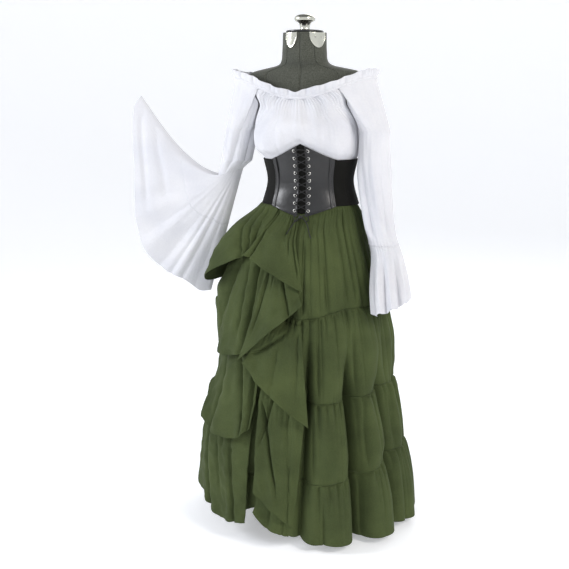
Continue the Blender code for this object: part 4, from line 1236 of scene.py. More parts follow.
@dataclass
class Cincher:
    """The laced cincher: two vinyl fronts, an elastic band, bone channels, grommets and the lace."""

    figure: Figure
    waist: Waist
    skirt: "Skirt"
    finish: Finishes
    inner_angle: float = 4.6
    bone_angle: float = 34.0
    bone_width: float = 3.2
    edging: float = 0.0035
    grommet_x: float = 0.020
    pairs: int = 9
    grommet_high: float = 1.096
    grommet_low: float = 0.927
    grommet_outer: float = 0.0048
    grommet_inner: float = 0.0024
    grommet_seat: float = 0.0007
    lace_radius: float = 0.0013
    lace_under: float = 0.0040
    lace_over: float = 0.0072
    bow_angle: float = 1.0
    bow_height: float = 0.911
    bow_out: float = 0.0218
    knot_out: float = 0.0036
    panel_length: float = 0.19
    panel_width: float = 0.085
    band_length: float = 0.13
    band_seams: tuple[float, ...] = (62.0, 84.0, 112.0, 142.0)
    band_seam_width: float = 0.6
    modesty_angle: float = 9.0

    def build(self) -> None:
        """Builds the cords first, then the panels and fittings."""
        self.build_ends()
        self.build_bow()
        self.build_lattice()
        for side in Side:
            self.build_panel(side)
            self.build_bone(side)
            for n in range(self.pairs):
                self.build_grommet(side, n)
        self.build_band()
        self.build_modesty()

    def point(self, angle: Number, share: Number, out: Number) -> Array:
        """share 0 is the cincher's top edge and 1 its bottom edge."""
        height = blend(self.waist.upper(angle), self.waist.lower(angle), share)
        return self.figure.point(angle, height, out)

    def edge_shape(self, x: Number, length: float) -> Number:
        """A turned edge with its stitch line, by the distance share from each end."""
        near = np.minimum(x, 1.0 - x) * length
        return 0.0006 * smooth((0.004 - near) / 0.002) - 0.0005 * dent(near, 0.0062, 0.0007)

    def build_panel(self, side: Side) -> None:
        """A glossy front panel with turned, stitched edges and drag lines between the grommets."""
        v, c = mesh_grid(np.linspace(0.0, 1.0, 150), np.linspace(0.0, 1.0, 90))
        share = c if side is Side.LEFT else 1.0 - c
        angle = side.value * blend(self.inner_angle, self.waist.panel_angle, share)
        ridge = self.edge_shape(v, self.panel_length) + self.edge_shape(share, self.panel_width)
        pull = 0.0007 * np.cos(2.0 * np.pi * self.pairs * 0.98 * v) * np.exp(-share / 0.22)
        wave = 0.0009 * np.sin(5.5 * v + 4.0 * share + 0.6) + 0.0005 * np.sin(13.0 * v - 5.0 * share)
        points = self.point(angle, v, self.waist.cincher + ridge + pull + wave * smooth(share * 4.0))
        name = "corset_panel_" + side.label
        panel = grid_object(name + "_vinyl", points, thick=self.waist.cincher_wall)
        dress(panel, self.finish.vinyl, Slot.VINYL, name)

    def build_bone(self, side: Side) -> None:
        """A stitched channel with a bone in it, near the panel's outer edge."""
        v, c = mesh_grid(np.linspace(0.0, 1.0, 120), np.linspace(0.0, 1.0, 13))
        share = c if side is Side.LEFT else 1.0 - c
        angle = side.value * (self.bone_angle + self.bone_width * share)
        crown = 0.0012 * np.sin(np.pi * share) ** 0.7 - 0.0003
        points = self.point(angle, v, self.waist.cincher + 0.0022 + crown)
        name = "corset_bone_" + side.label
        bone = grid_object(name + "_channel", points, thick=0.0014)
        dress(bone, self.finish.vinyl, Slot.VINYL, name)

    def build_band(self) -> None:
        """The elastic round the sides and back, with upright seams."""
        edge = self.waist.panel_angle + 0.2
        v, angle = mesh_grid(np.linspace(0.0, 1.0, 50), np.linspace(edge, 360.0 - edge, 320))
        places = [side.value * seam for side in Side for seam in self.band_seams]
        seams = sum(dent(signed(angle), place, self.band_seam_width) for place in places)
        seams = seams + dent(np.abs(signed(angle)), 180.0, self.band_seam_width)
        ridge = self.edge_shape(v, self.band_length)
        slack = 0.0006 * np.sin(np.radians(9.0 * angle)) * np.sin(np.pi * v)
        points = self.point(angle, v, self.waist.cincher + ridge - 0.0007 * seams + slack)
        band = grid_object("corset_band_elastic", points, thick=self.waist.cincher_wall)
        dress(band, self.finish.elastic, Slot.ELASTIC, "corset_band")

    def build_modesty(self) -> None:
        """The panel behind the lacing."""
        across = np.linspace(-self.modesty_angle, self.modesty_angle, 30)
        v, angle = mesh_grid(np.linspace(0.004, 8.5 / 9.0, 60), across)
        wave = 0.0004 * np.sin(60.0 * v)
        points = self.point(angle, v, self.waist.modesty + wave)
        panel = grid_object("modesty_panel_cloth", points, thick=0.0012)
        dress(panel, self.finish.elastic, Slot.ELASTIC, "corset_modesty_panel")

    def grommet_height(self, n: int) -> float:
        """Height of a pair of grommets, counted from the bottom."""
        return blend(self.grommet_low, self.grommet_high, n / (self.pairs - 1))

    def on_panel(self, side: int, height: float, out: float) -> Array:
        """A point over a line of grommets."""
        half_width = self.figure.ROWS.at(height)[0] + self.waist.cincher
        angle = math.degrees(math.asin(self.grommet_x / float(half_width)))
        return self.figure.point(side * angle, height, self.waist.cincher + out)

    def build_grommet(self, side: Side, n: int) -> None:
        """One rolled grommet, as a flattened ring."""
        height = self.grommet_height(n)
        s = side.value
        centre = self.on_panel(s, height, self.grommet_seat)
        up = self.on_panel(s, height + 0.004, 0.0) - self.on_panel(s, height - 0.004, 0.0)
        up = up / np.linalg.norm(up)
        half_width = float(self.figure.ROWS.at(height)[0] + self.waist.cincher)
        middle = math.degrees(math.asin(self.grommet_x / half_width)) * s
        across = self.figure.point(middle + 2.0, height, self.waist.cincher)
        across = across - self.figure.point(middle - 2.0, height, self.waist.cincher)
        across = across / np.linalg.norm(across)
        face = np.cross(across, up)
        mean = (self.grommet_outer + self.grommet_inner) / 2.0
        half = (self.grommet_outer - self.grommet_inner) / 2.0
        tube, spin = mesh_grid(np.linspace(0.0, 360.0, 13), np.linspace(0.0, 360.0, 32, endpoint=False))
        tube, spin = np.radians(tube)[..., None], np.radians(spin)[..., None]
        radius = mean + half * np.cos(tube)
        lift = 0.00055 + 0.00055 * np.sin(tube)
        points = centre + radius * (across * np.cos(spin) + up * np.sin(spin)) + face * lift
        ring = grid_object(f"grommet_{side.label}_{n + 1}_ring", points[::-1], wrap=True, thick=0.0)
        dress(ring, self.finish.steel, Slot.STEEL, f"grommet_{side.label}_{n + 1}")

    def build_lattice(self) -> None:
        """The lace: up one zigzag, over the top pair and down the other, dipping into each grommet."""
        route = []

        def climb(order: Sequence[int], side: int, out: float) -> int:
            """Adds one zigzag and returns the side that it would reach next."""
            for place, n in enumerate(order):
                height = self.grommet_height(n)
                route.append(self.on_panel(side, height, 0.0026))
                if place < len(order) - 1:
                    following = self.grommet_height(order[place + 1])
                    for share in (0.25, 0.5, 0.75):
                        between = blend(height, following, share)
                        flat = self.figure.point(0.0, between, self.waist.cincher + out)
                        edge = self.on_panel(side if share < 0.5 else -side, between, out)
                        route.append(blend(flat, edge, abs(share - 0.5) * 2.0))
                side = -side
            return side

        side = climb(range(self.pairs), 1, self.lace_under)
        top = self.pairs - 1
        bridge = self.figure.point(0.0, self.grommet_height(top) + 0.004, self.waist.cincher + self.lace_over)
        route.append(bridge)
        climb(range(top, -1, -1), side, self.lace_over)
        lattice = cord_object("lace_crossings", through(np.array(route), 5), self.lace_radius)
        dress(lattice, self.finish.cord, Slot.LACE, "lace_lattice")

    def bow_point(self, across: Number, up: Number, out: Number) -> Array:
        """A point near the knot."""
        centre = self.figure.point(self.bow_angle, self.bow_height, self.bow_out)
        return centre + np.stack(np.broadcast_arrays(across, -np.asarray(out), up), axis=-1)

    def build_bow(self) -> None:
        """Two small loops and the knot over them."""
        t = math.tau * np.linspace(0.0, 1.0, 97) * 0.94 + 0.19
        up = 0.0095 * np.sin(2 * t) - 0.004 * np.abs(np.sin(t))
        loop = self.bow_point(0.021 * np.sin(t), up, -0.0030 + 0.0030 * np.cos(t))
        bow = cord_object("lace_bow_loops", loop, self.lace_radius)
        dress(bow, self.finish.cord, Slot.LACE, "lace_bow")
        rings = np.radians(np.linspace(0.5, 179.5, 25))
        polar, turn = mesh_grid(rings, np.linspace(0.0, math.tau, 36, endpoint=False))
        lump = 1.0 + 0.10 * np.sin(3.0 * turn + 4.0 * polar)
        points = self.bow_point(
            0.0058 * np.sin(polar) * np.cos(turn) * lump,
            0.0048 * np.sin(polar) * np.sin(turn) * lump,
            self.knot_out + 0.0036 * np.cos(polar) * lump,
        )
        knot = grid_object("lace_knot_wrap", points, wrap=True, thick=0.0, cap=True)
        dress(knot, self.finish.cord, Slot.LACE, "lace_knot")

    def end_route(self, side: int, turn: float, drop: float, over: float, count: int) -> Array:
        """A free end: out of the knot's side, then down over the skirt."""
        share = np.linspace(0.0, 1.0, count)
        angle = side * (4.0 + turn * share)
        rest = self.skirt.even_point(angle, self.bow_height - 0.004 - drop * share**1.2, over)
        start = self.bow_point(side * (0.0066 + 0.010 * share), -0.0015 - 0.3 * drop * share, self.knot_out)
        return blend(start, rest, smooth((share - 0.04) / 0.5)[..., None])

    def build_ends(self) -> None:
        """Both free ends of the lace, as free cords."""
        lays = ((Side.LEFT, 10.0, 0.050, 0.0085, 14), (Side.RIGHT, 5.0, 0.040, 0.0170, 12))
        for side, turn, drop, over, count in lays:
            route = self.end_route(side.value, turn, drop, over, count)
            name = "lace_end_" + side.label
            end = cord_object(name + "_cord", route, self.lace_radius)
            dress(end, self.finish.cord, Slot.LACE, name)
            tuple(float(x) for x in route[0])


@dataclass(frozen=True)
class HitchedFold:
    """One fold of the hitched upper layer, as rows of the part's table.

    A crease holds its place across at the top and at the bottom, its half width, its depth in metres, and
    where down the fold it starts and ends. All but the depth are shares of the fold.
    """

    name: str
    top: tuple[tuple[float, float], ...]
    bottom: tuple[tuple[float, float], ...]
    top_out: float
    bottom_out: float
    bulge: float
    ripple: float
    seat: float
    flat: tuple[float, float]
    creases: tuple[tuple[float, float, float, float, float, float], ...] = ()


UNDER_CINCHER = -1.0
CORSET_RIM = Waist.cincher - Waist.skirt

FOLDS = (
    HitchedFold(
        "flap_hip_right", ((-100, UNDER_CINCHER), (-64, UNDER_CINCHER), (-29, UNDER_CINCHER)),
        ((-100, 0.705), (-76, 0.708), (-55, 0.768), (-38, 0.812)), CORSET_RIM, 0.0150, 0.062, 0.004, 0.0,
        (0.29, 0.26),
        ((0.56, 0.86, 0.026, 0.013, 0.02, 1.2), (0.68, 0.925, 0.022, 0.014, 0.0, 1.2),
         (0.80, 0.975, 0.020, 0.012, 0.0, 1.2), (0.42, 0.40, 0.060, 0.005, 0.0, 0.5),
         (0.25, 0.22, 0.060, 0.005, 0.0, 0.5)),
    ),
    HitchedFold(
        "flap_side_upper", ((-86, 0.780), (-50, 0.822), (-24, 0.832)),
        ((-85, 0.520), (-50, 0.512), (-22, 0.540)), 0.0060, 0.0180, 0.0, 0.004, -0.0042, (0.31, 0.34),
        ((0.44, 0.20, 0.075, 0.030, 0.05, 0.90), (0.84, 0.86, 0.050, 0.018, 0.05, 1.2),
         (0.66, 0.72, 0.030, 0.008, 0.1, 0.9), (0.10, 0.10, 0.040, 0.010, 0.1, 1.1)),
    ),
    HitchedFold(
        "flap_side_middle", ((-86, 0.556), (-50, 0.550), (-20, 0.560)),
        ((-62, 0.318), (-50, 0.296), (-28, 0.296), (-19, 0.330)), 0.0000, 0.0160, 0.0, 0.005, 0.0028,
        (0.30, 0.28),
        ((0.40, 0.34, 0.050, 0.014, 0.05, 1.2), (0.66, 0.80, 0.045, 0.014, 0.05, 1.1),
         (0.92, 0.94, 0.030, 0.012, 0.1, 1.2)),
    ),
    HitchedFold(
        "flap_side_lower", ((-86, 0.520), (-66, 0.400), (-46, 0.335), (-20, 0.350)),
        ((-86, 0.084), (-63, 0.086), (-49, 0.074), (-36, 0.054), (-27, 0.056), (-18, 0.062)),
        0.0000, 0.0100, 0.0, 0.006, 0.0009, (0.42, 0.40),
        ((0.40, 0.46, 0.040, 0.020, 0.05, 1.2), (0.62, 0.66, 0.030, 0.009, 0.0, 0.8),
         (0.80, 0.86, 0.030, 0.014, 0.05, 1.2), (0.18, 0.14, 0.050, 0.010, 0.1, 1.0),
         (0.72, 0.74, 0.020, 0.006, 0.0, 0.4), (0.52, 0.54, 0.020, 0.006, 0.0, 0.4)),
    ),
    HitchedFold(
        "cascade_waist", ((-27, UNDER_CINCHER), (-14, UNDER_CINCHER), (-3, UNDER_CINCHER)),
        ((-39, 0.806), (-18, 0.770), (8, 0.712)), CORSET_RIM, 0.0300, 0.0, 0.003, 0.0, (0.15, 0.19),
        ((0.04, 0.10, 0.040, 0.014, 0.0, 1.2), (0.62, 0.74, 0.030, 0.006, 0.0, 0.50),
         (0.76, 0.84, 0.028, 0.007, 0.0, 0.65), (0.90, 0.94, 0.028, 0.008, 0.0, 0.95),
         (0.46, 0.50, 0.040, 0.004, 0.0, 0.35)),
    ),
    HitchedFold(
        "cascade_upper", ((-22, 0.812), (-14, 0.800), (-2, 0.775)),
        ((-28, 0.519), (-11, 0.602), (8, 0.678)), 0.0050, 0.0350, 0.0, 0.003, 0.0028, (0.155, 0.21),
        ((0.66, 0.80, 0.045, 0.014, 0.0, 1.2), (0.20, 0.10, 0.050, 0.008, 0.0, 0.9),
         (0.42, 0.40, 0.030, 0.004, 0.0, 0.5)),
    ),
    HitchedFold(
        "cascade_middle", ((-16, 0.622), (-6, 0.622), (8, 0.622)),
        ((-26, 0.513), (-13, 0.456), (13, 0.350)), 0.0140, 0.0300, 0.0, 0.003, 0.0032, (0.185, 0.22),
        ((0.77, -0.21, 0.055, 0.014, 0.02, 0.80), (0.92, 0.86, 0.040, 0.006, 0.0, 0.9),
         (0.55, 0.62, 0.040, 0.005, 0.3, 1.2)),
    ),
    HitchedFold(
        "cascade_lower", ((-18, 0.466), (-5, 0.452), (12, 0.440)),
        ((-13, 0.160), (-3, 0.115), (6, 0.068)), -0.0060, 0.0060, 0.0, 0.003, 0.0073, (0.15, 0.35),
        ((-0.02, 0.64, 0.060, 0.014, 0.15, 0.95), (0.46, -0.20, 0.050, 0.012, 0.0, 0.65),
         (0.70, 0.84, 0.060, 0.007, 0.1, 1.2)),
    ),
    HitchedFold(
        "cascade_hem", ((-12, 0.215), (-3, 0.215), (4, 0.212)),
        ((-13, 0.104), (-7, 0.068), (0, 0.053), (4, 0.042)), -0.0160, 0.0040, 0.0, 0.002, 0.0006,
        (0.11, 0.16),
        ((0.45, 0.40, 0.100, 0.006, 0.0, 1.2), (0.80, 0.75, 0.060, 0.005, 0.0, 1.2)),
    ),
)


@dataclass
class Skirt:
    """The tiered skirt and, on the wearer's right front, its hitched folds."""

    figure: Figure
    waist: Waist
    finish: Finishes
    hem: float = 0.022
    top: float = 0.975
    seam_fade: float = 0.060
    hip_crest: float = 0.62
    first_row: float = 0.16
    hollow_from: float = -98.0
    hollow_to: float = 8.0
    hollow_ease: float = 13.0
    hollow_depth: float = 0.036

    # Each side fold's back edge: the share of the fold that it takes, and its clearance down the tiers
    SIDE_EDGES = {
        "flap_side_upper": (
            0.50, Profile(((0.0, 0.030), (0.16, 0.040), (0.42, 0.070), (0.72, 0.048), (1.0, 0.032)))
        ),
        "flap_side_middle": (
            0.125, Profile(((0.0, 0.020), (0.16, 0.020), (0.42, 0.036), (0.72, 0.050), (1.0, 0.052)))
        ),
        "flap_side_lower": (0.125, Profile(((0.0, 0.009), (1.0, 0.009)))),
    }

    RADII = Profile((
        (0.015, 0.358, 0.330, 0.345, 0.312),
        (0.107, 0.348, 0.322, 0.334, 0.324),
        (0.160, 0.340, 0.312, 0.326, 0.328),
        (0.216, 0.330, 0.296, 0.318, 0.325),
        (0.258, 0.322, 0.291, 0.312, 0.320),
        (0.344, 0.302, 0.277, 0.294, 0.302),
        (0.400, 0.288, 0.262, 0.282, 0.281),
        (0.480, 0.268, 0.249, 0.268, 0.266),
        (0.573, 0.246, 0.237, 0.248, 0.262),
        (0.655, 0.224, 0.221, 0.228, 0.248),
        (0.710, 0.208, 0.208, 0.214, 0.236),
        (0.800, 0.182, 0.184, 0.190, 0.214),
        (0.850, 0.166, 0.170, 0.172, 0.196),
        (0.905, 0.146, 0.158, 0.150, 0.172),
        (0.980, 0.120, 0.140, 0.125, 0.150),
    ))
    FIRST_SIDE = 15.0
    SEAMS = Profile((
        (-180.0, 0.655, 0.415, 0.210),
        (-90.0, 0.655, 0.420, 0.215),
        (-20.0, 0.640, 0.405, 0.190),
        (12.0, 0.636, 0.404, 0.187),
        (40.0, 0.660, 0.412, 0.199),
        (70.0, 0.656, 0.428, 0.235),
        (110.0, 0.655, 0.420, 0.225),
        (180.0, 0.655, 0.415, 0.210),
    ))
    HEM_LIFT = Profile((
        (-180.0, 0.000),
        (-130.0, 0.010),
        (-95.0, 0.062),
        (-62.0, 0.074),
        (-48.0, 0.064),
        (-36.0, 0.044),
        (-26.0, 0.054),
        (-14.0, 0.084),
        (-7.0, 0.072),
        (1.0, 0.034),
        (9.0, 0.006),
        (18.0, 0.000),
        (180.0, 0.000),
    ))
    DEEP_FOLDS = (
        (13.0, 8.5, 7.0, 0.042, 0.66),
        (38.0, 38.5, 6.5, 0.054, 0.60),
        (63.0, 65.0, 7.0, 0.040, 0.56),
        (88.0, 90.0, 8.0, 0.030, 0.58),
        (110.0, 113.0, 8.0, 0.036, 0.62),
        (137.0, 135.0, 7.5, 0.032, 0.58),
        (158.0, 160.0, 7.0, 0.040, 0.60),
        (183.0, 181.0, 8.0, 0.030, 0.60),
        (204.0, 207.0, 7.0, 0.038, 0.58),
        (228.0, 229.0, 8.0, 0.032, 0.60),
        (252.0, 250.0, 7.5, 0.036, 0.58),
        (274.0, 276.0, 7.0, 0.022, 0.50),
    )
    FLATS = ((1.45, 0.34), (2.00, 0.26), (2.45, 0.235), (2.50, 0.21))

    def build(self) -> None:
        """Builds the four tiers and the hitched folds."""
        for tier in range(4):
            self.build_tier(tier)
        for fold in FOLDS:
            self.build_fold(fold)

    def even_point(self, angle: Number, height: Number, out: Number = 0.0) -> Array:
        """The skirt without folds: on the form under the cincher, then flaring to its radius."""
        a = np.radians(angle)
        shape = np.broadcast_shapes(np.shape(angle), np.shape(height))
        sides = np.stack(self.RADII.at(np.broadcast_to(height, shape)))
        place = ((np.asarray(angle) - self.FIRST_SIDE) % 360.0) / 90.0
        index = np.broadcast_to(place.astype(int) % 4, sides.shape[1:])
        first = np.take_along_axis(sides, index[None], axis=0)[0]
        second = np.take_along_axis(sides, (index[None] + 1) % 4, axis=0)[0]
        radius = blend(first, second, smooth(place - np.floor(place)))
        wide = np.stack(np.broadcast_arrays(radius * np.sin(a), -radius * np.cos(a), height), axis=-1)
        snug = self.figure.point(angle, height, self.waist.skirt)
        flare = smooth((self.waist.lower(angle) - 0.003 - height) / 0.060)
        away = np.stack(np.broadcast_arrays(np.sin(a), -np.cos(a), 0.0 * np.asarray(height)), axis=-1)
        out = np.broadcast_to(out, wide.shape[:-1])
        return blend(snug, wide, flare[..., None]) + away * out[..., None]

    def deep_fold(self, angle: Number, height: Number) -> Number:
        """Depth of the large folds of the lower tiers, narrow at the bottom of each."""
        depth = 0.0
        for top_angle, hem_angle, half_width, deep, start in self.DEEP_FOLDS:
            middle = blend(hem_angle, top_angle, height / start)
            apart = signed(angle - middle)
            bell = 0.6 * dent(apart, 0.0, half_width) + 0.9 * dent(apart, 0.0, half_width * 0.36, 1.3)
            depth = depth + deep * bell * smooth((start - height) / 0.22)
        return depth

    def hollow(self, angle: Number, height: Number) -> Number:
        """How far the tiers sink behind the hitched folds."""
        turn = signed(angle)
        share = smooth((turn - self.hollow_from) / self.hollow_ease)
        share = share * smooth((self.hollow_to - turn) / self.hollow_ease)
        return self.hollow_depth * share * smooth((0.88 - height) / 0.25)

    def first_tier_out(self, angle: Number, height: Number) -> Number:
        """Folds of the first tier: close pleats at the waist that open into soft folds."""
        drop = self.waist.lower(angle) - 0.004 - height
        drape = smooth(drop / 0.25)
        phase = np.radians(24 * angle) - np.pi / 2 + 1.1 * wander(angle, 1.3)
        waves = (0.0086 * pleat(phase, 0.42) - 0.0024) * (0.8 + 0.3 * wander(angle, 2.1))
        fine = np.radians(47 * angle) + 1.6 * wander(angle, 3.7)
        close = (0.0052 * pleat(fine, 0.42) - 0.0020) * smooth(drop / 0.03) * (1.0 - 0.25 * drape)
        close = close * (0.75 + 0.5 * wander(angle, 8.4, (7, 12, 17)))
        pinch = 0.0019 * pleat(np.radians(96 * angle) + 2.0 * wander(angle, 5.2), 0.7)
        pinch = pinch * smooth(drop / 0.008) * np.exp(-np.maximum(drop, 0.0) / 0.040)
        return waves * drape + close + pinch

    @staticmethod
    def seam_wave(angle: Number) -> Number:
        """Small folds that both tiers share at their seam."""
        return 0.0030 * pleat(np.radians(24 * angle) - np.pi / 2 + 0.9 * wander(angle, 2.3), 0.8)

    def lower_tier_out(self, tier: int, angle: Number, below: Number, above: Number) -> Number:
        """Folds of a lower tier: short gathers under its seam that open into round lobes.

        Args:
            tier: 1 to 3, counted from the tier under the first.
            angle: where round the figure.
            below: distance under the tier's upper seam.
            above: distance over its lower seam.

        Returns:
            How far the cloth stands off the even surface.
        """
        puff = 0.006 * smooth(below / 0.03)
        fine = self.seam_wave(angle)
        lobe_phase = np.radians(13 * angle + 40) - np.pi / 2 + 0.6 * wander(angle, 4.0 + tier)
        lobe = (0.0115 * pleat(lobe_phase, 0.55) - 0.0035) * smooth(below / 0.12)
        lines = pleat(np.radians(72 * angle) + 2.4 * wander(angle, 6.0 + tier, (4, 7, 11)), 0.6)
        length = 0.030 + 0.018 * wander(angle, 9.0 + tier, (9, 14, 23)) + 0.004 * tier
        fade = np.exp(-below / np.maximum(length, 0.009))
        gather = (0.0066 * lines - 0.0020) * fade * smooth(below / 0.005)
        long_lines = pleat(np.radians(31 * angle) + 1.8 * wander(angle, 12.0 + tier), 0.40)
        gather = gather + (0.0072 * long_lines - 0.0032) * np.exp(-below / 0.15) * smooth(below / 0.01)
        drape = puff + fine * np.exp(-below / 0.07) + lobe
        return blend(fine, drape, smooth(above / self.seam_fade)) + gather

    def cloth_out(self, angle: Number, height: Number) -> Number:
        """How far the tiers' outer side stands off the even surface."""
        behind = self.hollow(angle, height) + self.deep_fold(angle, height)
        seams = [*self.SEAMS.at(signed(angle)), self.hem - self.seam_fade]
        out = self.first_tier_out(angle, height)
        out = blend(self.seam_wave(angle), out, smooth((height - seams[0]) / 0.04))
        for tier in (1, 2, 3):
            below, above = seams[tier - 1] - height, height - seams[tier]
            here = self.lower_tier_out(tier, angle, np.maximum(below, 0.0), above)
            out = np.where(below > 0.0, here, out)
        stitch = sum(dent(height, seam, 0.0022) for seam in seams[:3])
        return out - behind - 0.0016 * stitch

    def build_tier(self, tier: int) -> None:
        """One gathered tier, counted from 0 at the waist."""
        angles = np.linspace(0.0, 360.0, 960, endpoint=False)
        if tier == 0:
            shares = spaced((0.0, 0.12, 4), (0.12, 0.40, 16), (0.40, 0.94, 14), (0.94, 1.0, 4))
        else:
            shares = spaced((0.0, 0.08, 6), (0.08, 0.40, 12), (0.40, 0.92, 12), (0.92, 1.0, 4))
        v, angle = mesh_grid(shares, angles)
        seams = self.SEAMS.at(signed(angle))
        high = self.top if tier == 0 else seams[tier - 1] + SEAM_TUCK
        low = seams[tier] if tier < 3 else self.hem_height(angle)
        height = blend(high, low, v)
        tucked = 0.0030 * smooth((height - high + SEAM_TUCK + 0.001) / 0.002) if tier else 0.0
        points = self.even_point(angle, height, self.cloth_out(angle, height) - tucked)
        made = grid_object(f"skirt_tier_{tier + 1}_cloth", points, wrap=True)
        dress(made, self.finish.cotton, Slot.GREEN, f"skirt_tier_{tier + 1}")

    def hem_height(self, angle: Number) -> Number:
        """Height of the hem."""
        wave = 0.002 * np.sin(np.radians(7.0 * np.asarray(angle)))
        return self.hem + self.HEM_LIFT.at(signed(angle))[0] + wave

    @staticmethod
    def crumple(across: Number, down: Number, seed: float) -> Number:
        """Shallow irregular creasing over a few centimetres."""
        out = 0.0
        for n, turn in enumerate((0.3, 1.4, 2.2, 2.9)):
            way = turn + seed
            line = across * math.cos(way) + down * math.sin(way)
            side = down * math.cos(way) - across * math.sin(way)
            bend = 2.0 * np.sin(side * math.tau / 0.11 + seed * n)
            out = out + 0.0007 * np.sin(line * math.tau / (0.045 + 0.011 * n) + bend)
        return out

    def fold_out(self, fold: HitchedFold, u: Number, v: Number, angle: Number, height: Number) -> Number:
        """How far a hitched fold stands off the even surface, u across it and v down it."""
        under = fold.top[0][1] < 0.0
        out = blend(fold.top_out, fold.bottom_out, v**0.9 if under else v**1.3)
        crest = np.sin(np.pi * np.minimum(1.0, u * 1.1)).clip(0.0, 1.0) ** 1.2
        out = out + fold.bulge * crest * np.sin(np.pi * self.hip_crest * v) ** 0.8
        out = out + fold.ripple * v * np.sin(np.radians(360.0 * 2.5 * u + 30.0))
        falling = fold.name.startswith("cascade")
        start, rate = (0.66, smooth((v - 0.3) / 0.6)) if falling else (0.78, 0.5)
        if fold.seat or falling:
            out = out - 0.020 * smooth((u - start) / (1.0 - start)) * rate
        for at_top, at_bottom, half_width, depth, begin, end in fold.creases:
            middle = blend(at_top, at_bottom, v)
            run = smooth((v - begin) / 0.15) * smooth((end - v) / 0.25)
            bell = 0.5 * dent(u, middle, half_width) + 0.7 * dent(u, middle, half_width * 0.35, 1.2)
            out = out - depth * bell * run
        seed = float(len(fold.name)) + 10.0 * fold.flat[0]
        phase = 2.0 * np.pi * 9.0 * u + 4.0 * v + 2.0 * np.sin(5.0 * u + seed)
        out = out + 0.0014 * pleat(phase, 1.0) * np.exp(-v / 0.3)
        out = out + self.crumple(u * fold.flat[0], v * fold.flat[1], seed)
        out = out + 0.006 * smooth((v - 0.80) / 0.20)
        if fold.name in self.SIDE_EDGES:
            taken, clearance = self.SIDE_EDGES[fold.name]
            edge = self.cloth_out(angle, height) + clearance.at(v)[0]
            out = blend(edge, out, smooth(u / taken))
        if fold.seat:
            seat = self.cloth_out(angle, height) + CLOTH + max(fold.seat, 0.0010)
            out = blend(seat, out, smooth(v / self.first_row))
        return out + 0.0008 * smooth((v - 0.965) / 0.01)

    def build_fold(self, fold: HitchedFold) -> None:
        """One hitched fold with its creases and narrow hem."""
        downs = spaced((0.0, 0.16, 12), (0.16, 0.92, 44), (0.92, 1.0, 10))
        v, u = mesh_grid(downs, np.linspace(0.0, 1.0, 91))
        lines = []
        for edge in (fold.top, fold.bottom):
            keys = np.linspace(0.0, 1.0, len(edge))
            lines.append(Profile([(key, *place) for key, place in zip(keys, edge)]).at(u))
        (top_angle, top_height), (low_angle, low_height) = lines
        if fold.top[0][1] < 0.0:
            top_height = self.waist.lower(top_angle) - SEAM_GAP
        angle, height = blend(top_angle, low_angle, v), blend(top_height, low_height, v)
        points = self.even_point(angle, height, self.fold_out(fold, u, v, angle, height))
        made = grid_object(fold.name + "_cloth", points)
        dress(made, self.finish.cotton, Slot.GREEN, fold.name)


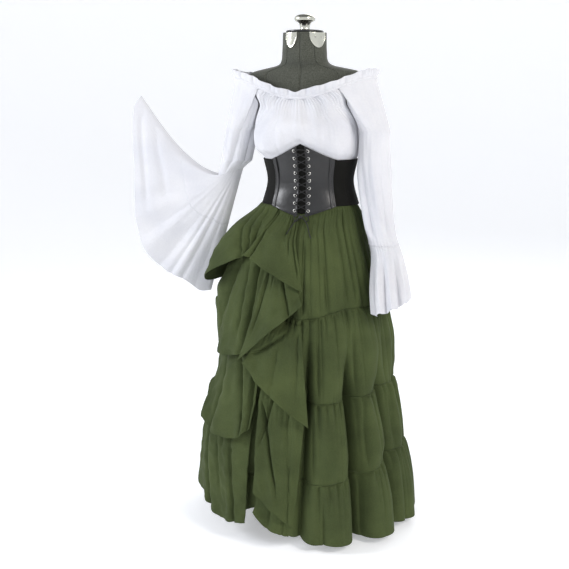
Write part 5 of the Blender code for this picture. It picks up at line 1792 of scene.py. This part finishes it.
@dataclass
class Studio:
    """Pale floor that curves up into a pale wall, soft lights and the camera."""

    floor_radius: float = 8.0
    floor_bend: float = 5.0
    wall_height: float = 7.0
    glow: float = 0.44
    colour: str = "#e9eaec"
    room_light: float = 0.26
    room_colour: str = "#f4f6fa"
    aim: tuple[float, float, float] = (0.0, 0.0, 0.8)
    azimuth: float = 15.0
    tilt: float = 10.5
    distance: float = 3.0
    height: float = 1.25
    shift_px: float = -26.0
    focal_px: float = 1020.0
    image_px: float = 569.0
    sensor_mm: float = 36.0

    def build(self) -> None:
        """Builds the studio."""
        self.build_floor()
        self.build_light("key", (2.6, -1.7, 2.6), size=1.0, watts=58.0, colour="#fffaf4")
        self.build_light("side", (-3.0, -1.2, 2.2), size=1.2, watts=70.0, colour="#f8faff")
        self.build_light("back", (0.6, 3.0, 3.2), size=2.4, watts=55.0, colour="#ffffff")
        self.build_sky()
        self.build_camera()

    def build_floor(self) -> None:
        """The floor and its curved wall."""
        outline = [(0.0, 0.0), (self.floor_radius, 0.0), (self.floor_radius, self.wall_height)]
        profile = np.array(rounded(outline, self.floor_bend, 24))[::-1]
        turns = np.linspace(0.0, 360.0, 96, endpoint=False)
        radius, angle = mesh_grid(np.maximum(profile[:, 0], 0.001), turns)
        height, _ = mesh_grid(profile[:, 1], turns)
        points = round_point(0.0, 0.0, radius, radius, -angle, height)
        floor = grid_object("studio_floor", points, wrap=True, thick=0.0)
        made, tree, shader = new_material("matt studio paper")
        place = add_node(tree, "ShaderNodeTexCoord").outputs["Object"]
        fibre = add_node(tree, "ShaderNodeTexNoise", inputs={"Scale": 400.0}, links={"Vector": place})
        bump = add_node(
            tree,
            "ShaderNodeBump",
            inputs={"Strength": 0.05, "Distance": 0.0003},
            links={"Height": fibre.outputs["Fac"]},
        )
        tree.links.new(bump.outputs["Normal"], shader.inputs["Normal"])
        shader.inputs["Base Color"].default_value = linear(self.colour)
        shader.inputs["Roughness"].default_value = 0.95
        shader.inputs["Emission Color"].default_value = linear(self.colour)
        shader.inputs["Emission Strength"].default_value = self.glow
        floor.data.materials.append(made)
        floor.visible_shadow = False

    def build_light(
        self, name: str, place: tuple[float, float, float], size: float, watts: float, colour: str
    ) -> None:
        """A soft square light aimed at the gown's middle."""
        lamp = bpy.data.lights.new(name, "AREA")
        lamp.size = size
        lamp.energy = watts
        lamp.color = linear(colour)[:3]
        made = bpy.data.objects.new(name, lamp)
        made.location = place
        towards = Vector(self.aim) - Vector(place)
        made.rotation_euler = towards.to_track_quat("-Z", "Y").to_euler()
        bpy.context.scene.collection.objects.link(made)

    def build_sky(self) -> None:
        """Even pale light from all round."""
        world = bpy.data.worlds.new("soft room light")
        world.use_nodes = True
        ground = world.node_tree.nodes["Background"]
        ground.inputs["Color"].default_value = linear(self.room_colour)
        ground.inputs["Strength"].default_value = self.room_light
        bpy.context.scene.world = world

    def build_camera(self) -> None:
        """The camera at the photograph's angle and distance."""
        a = math.radians(self.azimuth)
        right = Vector((math.cos(a), math.sin(a), 0.0))
        ahead = Vector((-math.sin(a), math.cos(a), 0.0))
        aside = self.shift_px / self.focal_px * self.distance
        lens = bpy.data.cameras.new("camera")
        lens.sensor_width = self.sensor_mm
        lens.lens = self.focal_px / self.image_px * self.sensor_mm
        made = bpy.data.objects.new("camera", lens)
        made.location = right * aside - ahead * self.distance + Vector((0.0, 0.0, self.height))
        made.rotation_euler = (math.radians(90.0 - self.tilt), 0.0, a)
        bpy.context.scene.collection.objects.link(made)
        bpy.context.scene.camera = made


def main() -> None:
    """Builds the studio and every piece in order."""
    logging.basicConfig(level=logging.INFO, format="%(message)s")
    bpy.context.scene.view_settings.view_transform = "Standard"
    Studio().build()
    finish = Finishes()
    figure, waist, neck = Figure(), Waist(), Neckline()
    skirt = Skirt(figure, waist, finish)
    Cincher(figure, waist, skirt, finish).build()
    DressForm(figure, finish).build()
    skirt.build()
    Chemise(figure, waist, neck, finish).build()


if __name__ == "__main__":
    main()
